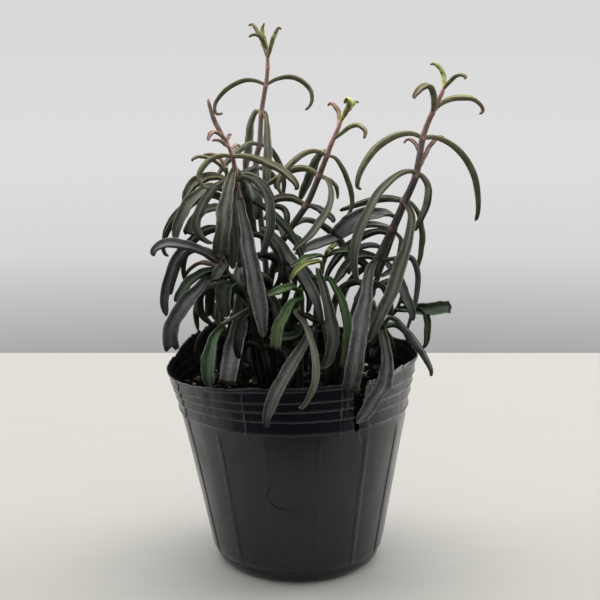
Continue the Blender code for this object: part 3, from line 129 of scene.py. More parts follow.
SHOOTS: dict[str, ShootPlan] = {
    "shoot_tall": ShootPlan(girth=1.25, stem=(
        (-7, 59, 6), (-8.5, 74, 7), (-12, 115, 9), (-14.9, 145.6, 11), (-13.5, 153.9, 11), (-12.8, 165.2, 12),
        (-11.2, 174.8, 12), (-10.5, 181, 12), (-10.6, 187.5, 12),
    ), leaves=(
        Leaf(2.0, 10, 0, Look.YOUNG, ((-10.4, 184), (-9.3, 188), (-7.8, 192.3), (-6.6, 194.4),
             (-5.6, 193.8))),
        Leaf(1.8, 14, -8, Look.YOUNG, ((-10.6, 184), (-12, 188.5), (-14, 193), (-15.8, 195.6), (-17.1, 195))),
        Leaf(1.1, 9, 12, Look.YOUNG, ((-10.7, 187), (-12.3, 190.3), (-14, 191.9), (-15.6, 192),
             (-17.1, 191.3))),
        Leaf(1.3, 14, -10, Look.YELLOW, ((-10.6, 187), (-11.6, 190.5), (-12.5, 194), (-11.7, 196.2))),
        Leaf(2.6, 12, 2, Look.OLIVE, ((-11.2, 174.8), (-15, 176.3), (-19.5, 176.2), (-25, 173.3),
             (-28.7, 169), (-29.2, 166), (-28.3, 164.7), (-26.3, 165))),
        Leaf(2.6, 12, -6, Look.OLIVE, ((-11.2, 174.8), (-7.5, 176.8), (-3, 177.6), (1, 176.4), (4.3, 173.2),
             (5, 170), (4.2, 167.6), (2.6, 166))),
        Leaf(3.2, 22, -12, Look.MOSS, ((-12.8, 165.2), (-14.6, 165.6), (-16.1, 162.5), (-17, 156),
             (-17.8, 150), (-18.8, 143.5))),
        Leaf(3.4, 2, -11, Look.MOSS, ((-12.8, 165.2), (-11.4, 164.4), (-10.8, 160), (-10.8, 152), (-11, 144),
             (-11.4, 137.5))),
        Leaf(3.0, 6, -4, Look.MOSS, ((-13.5, 153.9), (-16.5, 154.4), (-19.5, 152.8), (-23, 150), (-26.5, 146),
             (-28.6, 142.6))),
        Leaf(3.0, 14, 5, Look.DARK, ((-13.5, 153.9), (-10.5, 153.2), (-8, 150), (-6, 145.5), (-5.1, 140.5),
             (-5.3, 135.7))),
        Leaf(2.8, 3, 11, Look.DARK, ((-14.9, 145.6), (-17.2, 145), (-19.5, 143.2), (-21.5, 140),
             (-22.5, 136)), twin=True),
        Leaf(7.2, -3, -11, Look.SLATE, ((-14.9, 145.6), (-17.7, 139.3), (-16.6, 136), (-15.8, 132.6),
             (-15.5, 129.6), (-15.5, 126.9))),
        Leaf(2.8, 6, -6, Look.DARK, ((-13.6, 131), (-10, 132), (-6, 131.4), (-4, 128.5), (-4.4, 124),
             (-5.2, 120)), twin=True),
        Leaf(3.5, -38, 20, Look.DARK, ((-13, 124), (-11, 123), (-8.9, 121.2), (-5.2, 117), (-1.4, 111.6),
             (2.4, 105.8), (5.8, 99.2), (8.1, 92.2), (8.9, 88.3))),
        Leaf(3.4, 14, 0, Look.SLATE, ((-13.3, 121), (-10, 124.5), (-6, 123.8), (-2.5, 120.3), (0.5, 116.5))),
        Leaf(3.2, 18, 0, Look.DARK, ((-12, 112), (-9, 114.5), (-5, 113), (-2, 108), (-1, 102))),
        Leaf(3.2, 20, 0, Look.DARK, ((-12, 112), (-15, 114), (-18.5, 111.5), (-20.5, 106), (-20.5, 100))),
    )),
    "shoot_front_left": ShootPlan(girth=1.4, stem=(
        (-11, 59, -5), (-13.5, 74, -8), (-17.5, 100, -14), (-20, 120, -20), (-21.3, 135.5, -24),
        (-22, 141, -25.5), (-22.4, 145.2, -26.5), (-23.2, 149.8, -27.5), (-24.8, 154, -28),
    ), leaves=(
        Leaf(2.2, -30, 0, Look.PINK, ((-24.4, 153), (-27, 157.5), (-29.5, 162.5), (-30.8, 166.5),
             (-31.5, 169.2), (-31.2, 170.4))),
        Leaf(1.3, -24, 8, Look.PINK, ((-24.5, 153.4), (-24.9, 155.3), (-24.5, 157), (-23.4, 157.6))),
        Leaf(1.8, -34, 12, Look.PINK, ((-24.8, 153.6), (-26.8, 156.8), (-29, 158.3), (-30.7, 157.8),
             (-32, 155.3))),
        Leaf(1.2, -36, -10, Look.PINK, ((-24.8, 153.2), (-27, 155), (-28.8, 155.6), (-30.4, 155.3))),
        Leaf(1.2, -20, -2, Look.PINK, ((-23.8, 151.6), (-22.6, 153.3), (-21.3, 153.8), (-20.3, 153.1))),
        Leaf(2.6, -30, 6, Look.OLIVE, ((-23.2, 149.8), (-27, 150), (-31, 148.6), (-34.3, 145.2), (-35.1, 142),
             (-33.8, 139.3), (-31.3, 138.2))),
        Leaf(3.2, -37, 12, Look.OLIVE, ((-23.2, 149.8), (-18.5, 149.8), (-13, 148.2), (-8, 145.9),
             (-4, 143.3), (-1.3, 140.8), (-0.4, 138.8), (-1.2, 138))),
        Leaf(5.2, -46, 11, Look.MOSS, ((-22.4, 145.2), (-24, 141.6), (-24.8, 136.7), (-26, 131.1),
             (-26.7, 125.5), (-27.5, 119.9), (-28.1, 114.8)), twin=True, cut=True),
        Leaf(3.6, -35, -4, Look.MOSS, ((-22, 141), (-26, 140.6), (-30.3, 138), (-34, 132.5), (-36.2, 126.5),
             (-35.3, 121.7), (-32.6, 119.2), (-30.6, 118.6))),
        Leaf(3.3, -38, 5, Look.DARK, ((-22, 141), (-19.1, 142.3), (-14.7, 140.5), (-11.3, 136.3),
             (-9.9, 130.7), (-10.3, 123.9), (-11.6, 118.5), (-13.3, 113.8))),
        Leaf(5.5, -50, -11, Look.SLATE, ((-21.3, 135.5), (-20.7, 133), (-19.8, 127.7), (-18.4, 120.8),
             (-17, 113.2), (-15.7, 105.5), (-14.5, 97.7), (-13.3, 89.9), (-12.6, 83.6)), twin=True),
        Leaf(3.4, -33, 0, Look.DARK, ((-22, 139), (-22.9, 133), (-23.4, 125), (-23, 116), (-23.6, 109))),
    )),
    "shoot_rim_left": ShootPlan(girth=0.9, stem=(
        (-19, 59, -12), (-20.5, 72, -13), (-25, 82, -14), (-28, 88.6, -15),
    ), leaves=(
        Leaf(6.0, -22, 0, Look.JADE, ((-27.4, 87.4), (-29.8, 84.4), (-31.8, 78.9), (-32.8, 73.3),
             (-32.6, 67.7), (-32.2, 64.1))),
        Leaf(1.6, -30, 8, Look.SAGE, ((-28, 88.6), (-22.4, 91.6), (-17.8, 94.8))),
        Leaf(2.0, -16, 12, Look.DARK, ((-28, 88.6), (-28.4, 93), (-28.8, 99.3), (-29.2, 103.9))),
    )),
    "shoot_left": ShootPlan(girth=1.2, stem=(
        (-14, 59, 10), (-16, 74, 9), (-21, 112, 3), (-24, 130, -2), (-25.2, 140.5, -6), (-25.4, 146, -8),
    ), leaves=(
        Leaf(1.8, -6, 0, Look.PINK, ((-25.4, 144.6), (-27.3, 148.6), (-30, 150.3), (-33, 150.3),
             (-34.6, 149))),
        Leaf(1.8, -12, -8, Look.OLIVE, ((-25.4, 143.8), (-28.3, 147.2), (-31.5, 149), (-35, 149.7),
             (-37.2, 148.8), (-37.6, 147.9))),
        Leaf(4.6, -3, 45, Look.OLIVE, ((-25.2, 140.5), (-28.1, 142.3), (-32.5, 142.3), (-36.7, 140.1),
             (-39.4, 136.7), (-40.6, 132.8)), twin=True),
        Leaf(4.0, -16, 50, Look.SAGE, ((-24.9, 137), (-30.4, 139), (-34.1, 137.5), (-38.3, 133.7),
             (-41.4, 129.2), (-43.5, 124.3), (-44.1, 119.7))),
        Leaf(3.0, 6, 2, Look.DEEP, ((-24.3, 132), (-30, 135.5), (-36, 133.8), (-42, 129), (-46.4, 123.3),
             (-48.4, 118), (-48, 115), (-46.6, 113.7)), twin=True),
        Leaf(3.4, -14, 40, Look.SAGE, ((-24, 129), (-27.6, 131.2), (-31.2, 131.4), (-34.2, 130.4),
             (-36.9, 127.3), (-38.9, 123.9), (-39.6, 122)), cut=True),
        Leaf(3.9, -22, 40, Look.SLATE, ((-23, 123), (-30.6, 123.9), (-34.4, 122.4), (-38.9, 118.9),
             (-42.4, 114.7), (-45.2, 109.3), (-47.2, 103.1), (-48.5, 96.9), (-47.9, 91.5))),
        Leaf(6.4, -28, 11, Look.PALE, ((-20.8, 110.5), (-21.6, 107), (-20.4, 100.8), (-20.9, 92.2),
             (-22.7, 83.6), (-24.5, 75.7), (-26.2, 65.5)), cut=True),
        Leaf(3.2, -6, 20, Look.DEEP, ((-24.6, 134), (-30, 136.5), (-35.5, 135), (-41, 131.1), (-44.8, 127.3),
             (-47.3, 123.1), (-48.4, 119.7))),
    )),
    "shoot_low_left": ShootPlan(girth=1.2, stem=(
        (-9, 59, -14), (-11.5, 74, -17), (-18, 96, -23), (-25.5, 107.5, -27), (-27.3, 113, -28),
        (-27.5, 116.5, -28),
    ), leaves=(
        Leaf(3.6, -33, 40, Look.ASH, ((-26.8, 110.6), (-31.1, 112.8), (-33.8, 115.1), (-36.6, 116.5),
             (-39.4, 117.6), (-42.2, 117.9), (-44.9, 118.3), (-47.7, 118.3), (-50.2, 117.3), (-52, 115.6),
             (-52, 113.7))),
        Leaf(3.2, -37, 35, Look.DEEP, ((-26, 108.5), (-30.8, 108.6), (-34.6, 107.4), (-39.2, 104.3),
             (-42.7, 100.4), (-44.7, 96.8))),
        Leaf(5.0, -45, 45, Look.SLATE, ((-25, 106.5), (-31.6, 105.5), (-35.5, 102), (-40.1, 97.7),
             (-43.6, 93), (-45.8, 88.3), (-46.7, 83.6), (-46.2, 79.2)), cut=True),
        Leaf(2.2, -10, -10, Look.BROWN, ((-26, 108.5), (-31.5, 110.9), (-35.3, 111.3), (-38.7, 109.3),
             (-40.5, 107), (-41.2, 105.3))),
        Leaf(3.4, -13, 2, Look.DARK, ((-27, 112), (-32, 115.5), (-38, 116), (-42.5, 112), (-45, 105),
             (-46.3, 99.5))),
        Leaf(5.6, -38, 6, Look.DEEP, ((-19.5, 98.5), (-24, 103), (-27, 101), (-26.8, 96),
             (-26, 91)), twin=True),
        Leaf(3.2, -8, 10, Look.DARK, ((-24, 104.5), (-32.4, 102.4), (-35.1, 99.3), (-35.6, 94.6), (-34, 91.1),
             (-31.1, 88.2))),
        Leaf(3.4, -4, 0, Look.SLATE, ((-23, 102), (-30.9, 103.9), (-31.9, 99.3), (-32.3, 94.6),
             (-32.6, 91.5))),
        Leaf(2.6, -2, 0, Look.BROWN, ((-25, 106), (-31, 104), (-35.5, 98.5), (-37, 92), (-36.5, 86))),
        Leaf(3.6, -36, 20, Look.DARK, ((-26.9, 112.2), (-27, 110.2), (-28.6, 107.8), (-30.9, 105.1))),
    )),
    "shoot_middle": ShootPlan(girth=1.5, stem=(
        (-8, 59, 1), (-9, 74, 0), (-10.5, 100, -1), (-8, 112, -3), (-4.8, 120.8, -5), (2.9, 132, -7),
        (7.6, 142.9, -8), (10.4, 150.2, -9), (12, 154.6, -9), (14.3, 159.8, -9), (15.3, 162.4, -9),
    ), leaves=(
        Leaf(1.8, -6, 0, Look.PINK, ((14.1, 159), (14.6, 163), (13.8, 166.2), (12, 168.4), (10.5, 167.6))),
        Leaf(2.4, -12, 8, Look.YOUNG, ((12.4, 155.6), (15.5, 158), (18.5, 160.2), (21.5, 160.7),
             (23.8, 158.8), (23.5, 156))),
        Leaf(2.2, -14, -12, Look.YELLOW, ((15.2, 162), (17, 165.3), (18.6, 168.6), (17.4, 170),
             (16.3, 168.4))),
        Leaf(1.5, -6, 10, Look.YELLOW, ((15.2, 162), (17.8, 166), (20.2, 168.9), (21.6, 168.7))),
        Leaf(2.8, -14, 2, Look.OLIVE, ((10.4, 150.2), (6, 151.7), (1.5, 150.3), (-2.5, 147), (-5.5, 143.3),
             (-6.9, 139.5), (-6, 136.3))),
        Leaf(2.4, -4, -6, Look.OLIVE, ((10.4, 150.2), (13.5, 149), (16.3, 144.5), (18.5, 139), (19.4, 134),
             (18.8, 130.5), (17.6, 128.6))),
        Leaf(3.8, 7, -12, Look.MOSS, ((10.2, 149.7), (8.8, 151.5), (6.8, 148.3), (4.6, 143.3), (2.4, 138),
             (0.9, 134.2))),
        Leaf(3.4, 1, 11, Look.OLIVE, ((7.6, 142.9), (3.5, 145.2), (-1.5, 145), (-6, 142.8), (-10, 140.2),
             (-12.6, 138.2))),
        Leaf(2.7, -27, -4, Look.MOSS, ((7.6, 142.9), (10.2, 141.6), (11.7, 138.2), (11.8, 133.7),
             (9.3, 127.7), (4.7, 121.6), (0.1, 117.4), (-1.8, 115.8))),
        Leaf(1.5, 0, 5, Look.YOUNG, ((7.6, 142.9), (9.8, 142.3), (12.5, 140.5), (14, 137.5), (14.2, 134.5))),
        Leaf(3.6, -4, 20, Look.OLIVE, ((2.9, 132), (0.9, 133.3), (-2.1, 134.8), (-5.9, 134.8), (-9.2, 133.7),
             (-11.9, 131.4))),
        Leaf(2.8, -14, 11, Look.DARK, ((2.9, 132), (4.6, 132), (8, 130.7), (11.8, 128), (13.1, 126))),
        Leaf(3.0, -15, -6, Look.DARK, ((-4.8, 120.8), (-1.5, 120.6), (1, 118.5), (2, 115))),
        Leaf(2.4, 4, 3, Look.DARK, ((-5.2, 120), (-6.3, 124.5), (-8.3, 128), (-10.2, 129), (-12, 127))),
        Leaf(3.6, 10, 0, Look.SLATE, ((-9, 108), (-5, 111.5), (0, 111), (4, 107), (5.5, 102), (5, 97))),
        Leaf(3.4, 6, 0, Look.DARK, ((-9.5, 104), (-14, 107), (-18, 105), (-20.5, 100), (-21, 94))),
        Leaf(4.0, 18, 10, Look.DARK, ((-2, 124.8), (2.5, 127), (8, 125.5), (13.5, 121), (17.5, 114.5),
             (18.5, 107))),
    )),
    "shoot_right": ShootPlan(girth=1.85, stem=(
        (13, 59, -3), (15.5, 74, -5), (22.5, 98, -9), (27.5, 109.5, -11), (34, 123.4, -13), (38.4, 134, -14),
        (42.2, 143.2, -15), (44.3, 156.4, -15), (47.4, 165, -15), (50.4, 171.5, -15), (51.5, 174, -15),
    ), leaves=(
        Leaf(1.8, -12, 0, Look.YELLOW, ((51.2, 173.2), (51.2, 177), (50, 180.3), (48, 182), (46.3, 181.9))),
        Leaf(2.0, -20, 8, Look.YOUNG, ((51.3, 173.4), (54, 176.6), (56.3, 178.2), (58.3, 178),
             (58.9, 176.7))),
        Leaf(2.8, -19, 12, Look.YOUNG, ((47.4, 165), (47.8, 168.5), (47.6, 172), (46, 174.4), (43.5, 173.8),
             (41.7, 171.8), (40.7, 170))),
        Leaf(2.8, -12, 10, Look.YOUNG, ((47.4, 165), (49.8, 167.8), (53, 169.6), (57.5, 170.3), (61.5, 170),
             (64.4, 167.9), (65.2, 165.8), (64, 164.6))),
        Leaf(3.4, -18, 2, Look.OLIVE, ((44.3, 156.4), (40, 157.9), (34.5, 157), (29, 153.6), (25, 149),
             (22.2, 143.8), (21.3, 140), (21.7, 138.6), (22.9, 138.1))),
        Leaf(3.4, -12, -6, Look.OLIVE, ((44.3, 156.4), (49, 156.4), (54.5, 154), (59.2, 149.5), (62.6, 143.5),
             (64.2, 137), (64.6, 131), (64.1, 127.6), (63.5, 126.8))),
        Leaf(1.6, -10, 12, Look.PINK, ((42.4, 143.6), (44.3, 148), (46.5, 152.3), (49, 156), (50.8, 156.8),
             (52, 156.2))),
        Leaf(1.3, -10, 11, Look.PINK, ((42.4, 143.6), (43.6, 148.5), (42.8, 152.5), (41, 155), (39, 155.8),
             (37.5, 154.4))),
        Leaf(3.3, -34, 20, Look.MOSS, ((42.2, 143.2), (40.7, 144.5), (37.2, 143.9), (33.3, 141.3),
             (29.3, 136.7), (25.9, 130.9), (23.1, 125.1), (20.9, 118.7), (20.4, 112.8), (21, 107.5),
             (22.2, 103.9))),
        Leaf(3.3, -18, -5, Look.MOSS, ((42.2, 143.2), (43.9, 143), (46.3, 139.6), (46.4, 134.5),
             (44.5, 128.6), (42, 123))),
        Leaf(4.6, -1, 11, Look.MOSS, ((38.4, 134), (36.8, 134.1), (31.6, 134.7), (25.9, 133.8), (20.2, 132.1),
             (15, 130.4))),
        Leaf(4.5, -45, -11, Look.MOSS, ((38.4, 134), (40.7, 128.6), (40.5, 123.4), (39.4, 117.5),
             (37.8, 111.6), (36.1, 105.7), (33.9, 99.8), (31.2, 94.2), (28.6, 88.6), (26.4, 82.7))),
        Leaf(2.3, -8, -6, Look.OLIVE, ((38.4, 134), (40.7, 133), (43.4, 128.6), (44.8, 121.7), (44.2, 114.8),
             (43.2, 109.1))),
        Leaf(3.8, -7, 55, Look.PALE, ((34, 123.4), (31.7, 124.5), (27.3, 125.2), (22.8, 124.7), (18.4, 123),
             (14, 121), (9, 119), (4, 117.1), (-1.1, 114.5))),
        Leaf(2.4, -21, 10, Look.DARK, ((34, 123.4), (35, 122.6), (37.2, 119.5), (37.2, 114.8), (34.8, 109.6),
             (30.1, 106.1))),
        Leaf(5.9, -48, 12, Look.SLATE, ((28.6, 112), (27.2, 110.6), (25.9, 108), (25.1, 102.8), (24.4, 96.5),
             (23.4, 89.6), (22.3, 82.6), (20.8, 72.4), (19.3, 63.4)), cut=True),
        Leaf(2.8, -14, 8, Look.DARK, ((28.6, 112), (37.3, 113.1), (41.3, 112.8), (43.4, 107.5), (43.2, 100.4),
             (42.2, 94.4), (39.8, 86))),
        Leaf(3.2, -4, 0, Look.DARK, ((24.5, 102.5), (20.5, 104.5), (16, 102), (13.5, 96), (13, 89))),
        Leaf(3.2, -6, 0, Look.DARK, ((24.5, 102.5), (28, 104), (31.5, 101.5), (33.5, 96), (33.5, 90))),
    )),
    "shoot_right_behind": ShootPlan(girth=1.3, stem=(
        (18, 59, 8), (20, 74, 7), (27, 100, 2), (31.3, 112.5, 0), (34.2, 121, -2), (35.2, 128.5, -3),
    ), leaves=(
        Leaf(5.2, -14, 60, Look.ASH, ((35.2, 128), (32.3, 129.4), (28.3, 129.5), (23.9, 128.9), (19.8, 126.9),
             (16.4, 124.3), (13.7, 121.3)), cut=True),
        Leaf(3.4, -20, 8, Look.DARK, ((31.3, 112.5), (36.6, 105.2), (38.8, 100), (41, 94.7), (42.2, 89.8))),
        Leaf(2.6, -8, 12, Look.DARK, ((32, 115), (28.5, 117.6), (24, 117.4), (20.5, 115.5), (17.5, 112))),
        Leaf(3.0, 2, 10, Look.GREEN, ((27.6, 102), (30.5, 103.6), (34, 104.2), (37.5, 102.5)), twin=True),
        Leaf(4.4, 4, 40, Look.SAGE, ((31, 110), (27, 113.5), (22, 113.8), (18, 110.5), (15.5, 107),
             (13.3, 103.8))),
        Leaf(3.4, 8, 25, Look.DEEP, ((29.3, 106), (22.8, 111.6), (19.1, 110.8), (15.3, 107), (13, 103.9))),
        Leaf(4.2, 12, 40, Look.DARK, ((34.2, 121), (29.5, 122.8), (23.5, 121), (17.5, 116.5), (12.5, 110.5),
             (9.5, 104))),
        Leaf(3.8, 16, 30, Look.SAGE, ((30.2, 109), (25, 109.6), (20, 106), (17, 100), (16, 93))),
    )),
    "shoot_centre_green": ShootPlan(girth=1.1, stem=(
        (5, 59, -12), (5.5, 74, -15), (7, 98, -21), (8.5, 108, -23), (9.8, 113, -24), (10.6, 116, -24.5),
    ), leaves=(
        Leaf(2.0, -33, 40, Look.GREEN, ((9.8, 113), (8.1, 114.1), (4.7, 113.5), (0.9, 112), (-2.9, 109.7))),
        Leaf(2.1, -29, 40, Look.GREEN, ((9.8, 113), (11.1, 114.1), (14.5, 115.6), (18.6, 115.8))),
        Leaf(1.7, -22, -12, Look.YELLOW, ((10.3, 115), (12.6, 117.4), (14.5, 118))),
        Leaf(2.0, -38, 30, Look.YELLOW, ((8.9, 109.6), (7.7, 112), (2.8, 110.7), (-1, 107.8), (-3.2, 104.7))),
        Leaf(4.3, -40, -2, Look.DARK, ((8.6, 108.5), (7.3, 108.7), (8.3, 105), (10.2, 99.2), (11.8, 92.2),
             (12.8, 85.1), (12.3, 79.6), (10.9, 74.4), (8.2, 71.8))),
        Leaf(3.2, -35, -6, Look.GREEN, ((8, 105), (11.4, 105.4), (13.4, 102.3), (15.8, 96.9), (17.3, 91.4),
             (18.1, 85.1), (17.6, 78.8), (16.5, 72.4)), twin=True, cut=True),
    )),
    "shoot_front_green": ShootPlan(girth=1.1, stem=(
        (1, 59, -18), (1, 74, -22), (1.5, 90, -27), (1.5, 98, -30), (1.2, 102, -31),
    ), leaves=(
        Leaf(2.9, -40, 35, Look.GREEN, ((1.3, 100.5), (-2.2, 102.3), (-6.7, 101.2), (-10.9, 99.1))),
        Leaf(3.8, -45, -8, Look.GREEN, ((1.5, 98), (-2.2, 96.5), (-4.8, 92.2), (-6.8, 87.5), (-7.7, 82.4),
             (-8, 79.2)), cut=True),
        Leaf(2.5, -52, 12, Look.MOSS, ((1.5, 94), (-1, 93), (2, 88.7), (4.7, 82), (6.4, 75.6), (6.9, 70.9),
             (5.7, 64.4), (2.2, 57.5), (0.2, 56.6))),
        Leaf(4.6, -50, -10, Look.DARK, ((1.4, 86), (5, 87), (3.5, 82.5), (-0.5, 76), (-4.8, 69), (-8.3, 61.5),
             (-11, 54.5), (-11.6, 51), (-10.8, 49))),
        Leaf(3.6, -34, 30, Look.DEEP, ((1.5, 88), (0.1, 84.3), (-5.2, 83.2), (-10.6, 83.6))),
    )),
    "shoot_rim_right": ShootPlan(girth=1.1, stem=(
        (17, 59, -14), (18.5, 72, -17), (27, 82, -22), (31.5, 88.5, -26), (33.5, 91.5, -28),
    ), leaves=(
        Leaf(3.6, -30, 0, Look.SLATE, ((33.2, 91), (35.6, 90.3), (37.7, 88), (42.1, 82.7), (46.1, 76.9),
             (48.9, 71.5), (49.2, 68.8))),
        Leaf(5.4, -45, -8, Look.SLATE, ((30.8, 87.4), (31.3, 84), (32.9, 77.8), (33, 71.5), (31.8, 65.2),
             (29.3, 61.5), (25.8, 55.2), (21.8, 50.6))),
    )),
    "shoot_back_right": ShootPlan(girth=1, stem=(
        (20, 59, 14), (23, 74, 14), (31, 88, 12), (36, 94, 10), (38, 100, 9),
    ), leaves=(
        Leaf(4.7, 4, 75, Look.JADE, ((35.4, 94), (40.2, 94.2), (46.2, 94.3), (50.5, 94.7),
             (55.5, 95)), cut=True),
        Leaf(2.8, 2, 8, Look.DEEP, ((37.8, 97), (45.4, 93.8), (47, 90.3), (47.4, 85.8), (46.9, 81.4),
             (45.8, 79.4))),
    )),
}


class Socket:
    """An output of a shader node, with Python's operators for sums on values."""

    def __init__(self, nodes: Nodes, output: bpy.types.NodeSocket) -> None:
        """Keep the socket and the nodes that it belongs to."""
        self.nodes = nodes
        self.output = output

    def __add__(self, other: Socket | float) -> Socket:
        """Add."""
        return self.nodes.sum("ADD", self, other)

    __radd__ = __add__

    def __sub__(self, other: Socket | float) -> Socket:
        """Take away."""
        return self.nodes.sum("SUBTRACT", self, other)

    def __rsub__(self, other: float) -> Socket:
        """Take this value away from a number."""
        return self.nodes.sum("SUBTRACT", other, self)

    def __mul__(self, other: Socket | float) -> Socket:
        """Multiply."""
        return self.nodes.sum("MULTIPLY", self, other)

    __rmul__ = __mul__

    def __pow__(self, power: float) -> Socket:
        """Raise to a power."""
        return self.nodes.sum("POWER", self, power)

    def __abs__(self) -> Socket:
        """Drop the sign."""
        return self.nodes.sum("ABSOLUTE", self, 0.0)


class Nodes:
    """A tree of nodes while it is put together."""

    def __init__(self, tree: bpy.types.NodeTree) -> None:
        """Keep the tree."""
        self.tree = tree

    def add(self, kind: str, settings: dict, sockets: dict, output: int | str = 0) -> Socket:
        """Add a node.

        Args:
            kind: The node's type.
            settings: Its properties, set first. "stops" sets the stops of a ramp.
            sockets: Values or links for its inputs, by name or number.
            output: Which output is wanted.

        Returns:
            The wanted output.
        """
        node = self.tree.nodes.new(kind)
        for name, value in settings.items():
            if name == "stops":
                self.set_stops(node.color_ramp, value)
            else:
                setattr(node, name, value)
        for key, value in sockets.items():
            self.feed(node.inputs[key], value)
        return Socket(self, node.outputs[output])

    def feed(self, target: bpy.types.NodeSocket, value: Socket | float | Sequence[float]) -> None:
        """Link a socket to an input, or set the input to a constant.

        Args:
            target: The input.
            value: The output or the constant.
        """
        if isinstance(value, Socket):
            self.tree.links.new(value.output, target)
        else:
            target.default_value = value

    @staticmethod
    def set_stops(ramp: bpy.types.ColorRamp, stops: Sequence[tuple[float, Sequence[float]]]) -> None:
        """Give a ramp its stops.

        Args:
            ramp: The ramp.
            stops: The place and colour of each.
        """
        while len(ramp.elements) > 1:
            ramp.elements.remove(ramp.elements[-1])
        ramp.elements[0].position, ramp.elements[0].color = stops[0]
        for position, colour in stops[1:]:
            ramp.elements.new(position).color = colour

    def sum(self, operation: str, left: Socket | float, right: Socket | float) -> Socket:
        """Add a Math node."""
        return self.add("ShaderNodeMath", {"operation": operation}, {0: left, 1: right})

    def between(self, value: Socket, low: float, high: float) -> Socket:
        """Map a value to 0 at low and 1 at high, and hold it there outside."""
        return self.add("ShaderNodeMapRange", {"interpolation_type": "SMOOTHSTEP"},
                        {"Value": value, "From Min": low, "From Max": high})

    def axis(self, vector: Socket, letter: str) -> Socket:
        """Take one part of a vector."""
        return self.add("ShaderNodeSeparateXYZ", {}, {"Vector": vector}, letter)


class Shader(Nodes):
    """A material while it is put together."""

    def __init__(self, name: str) -> None:
        """Start a material with a plain surface.

        Args:
            name: The material's name.
        """
        self.material = bpy.data.materials.new(name)
        self.material.use_nodes = True
        super().__init__(self.material.node_tree)
        self.surface = self.tree.nodes["Principled BSDF"]

    def mix(self, factor: Socket | float, first: Socket | Colour, second: Socket | Colour,
            blend: str = "MIX") -> Socket:
        """Mix two colours.

        Args:
            factor: The share of the second colour.
            first: The colour at 0.
            second: The colour at 1.
            blend: The way of mixing, as the node names it.

        Returns:
            The mixed colour.
        """
        both = [value if isinstance(value, Socket) else (*value, 1.0) for value in (first, second)]
        return self.add("ShaderNodeMix", {"data_type": "RGBA", "blend_type": blend},
                        {0: factor, 6: both[0], 7: both[1]}, 2)

    def place(self) -> Socket:
        """Read where on the object a point is, in metres."""
        return self.add("ShaderNodeTexCoord", {}, {}, "Object")

    def attribute(self, name: str, output: str = "Vector") -> Socket:
        """Read an attribute of the mesh."""
        return self.add("ShaderNodeAttribute", {"attribute_name": name}, {}, output)

    def cloud(self, vector: Socket, scale: float, detail: float, roughness: float,
              stretch: Sequence[float] | None = None) -> Socket:
        """Add a noise pattern, from 0 to 1, whose coordinates may be stretched first.

        Args:
            vector: The coordinates.
            scale: How fine the pattern is.
            detail: How many finer patterns lie on it.
            roughness: How strong those are.
            stretch: What the coordinates are multiplied by.

        Returns:
            The pattern.
        """
        if stretch is not None:
            vector = self.add("ShaderNodeMapping", {}, {"Vector": vector, "Scale": stretch})
        return self.add("ShaderNodeTexNoise", {}, {"Vector": vector, "Scale": scale, "Detail": detail,
                                                   "Roughness": roughness})

    def bump(self, height: Socket, strength: float, distance: float, under: Socket | None = None) -> Socket:
        """Turn a height in units of distance into a normal, over another normal if one is given.

        Args:
            height: The height.
            strength: How much of it shows.
            distance: The unit of height, in metres.
            under: The normal that it lies on.

        Returns:
            The normal.
        """
        sockets = {"Height": height, "Strength": strength, "Distance": distance}
        if under is not None:
            sockets["Normal"] = under
        return self.add("ShaderNodeBump", {}, sockets)

    def polish(self, gloss: float, coat_roughness: float, coat: Socket) -> None:
        """Set the bare surface's gloss, and lay a clear coat over it.

        Args:
            gloss: The bare surface's specular level.
            coat_roughness: The coat's roughness.
            coat: How much coat there is.
        """
        self.feed(self.surface.inputs["Specular IOR Level"], gloss)
        self.feed(self.surface.inputs["Coat Roughness"], coat_roughness)
        self.feed(self.surface.inputs["Coat Weight"], coat)

    def dress(self, colour: Socket, roughness: Socket | float, normal: Socket) -> bpy.types.Material:
        """Finish the surface and return the material.

        Args:
            colour: The colour.
            roughness: The roughness.
            normal: The normal.

        Returns:
            The material.
        """
        self.feed(self.surface.inputs["Base Color"], colour)
        self.feed(self.surface.inputs["Roughness"], roughness)
        self.feed(self.surface.inputs["Normal"], normal)
        return self.material


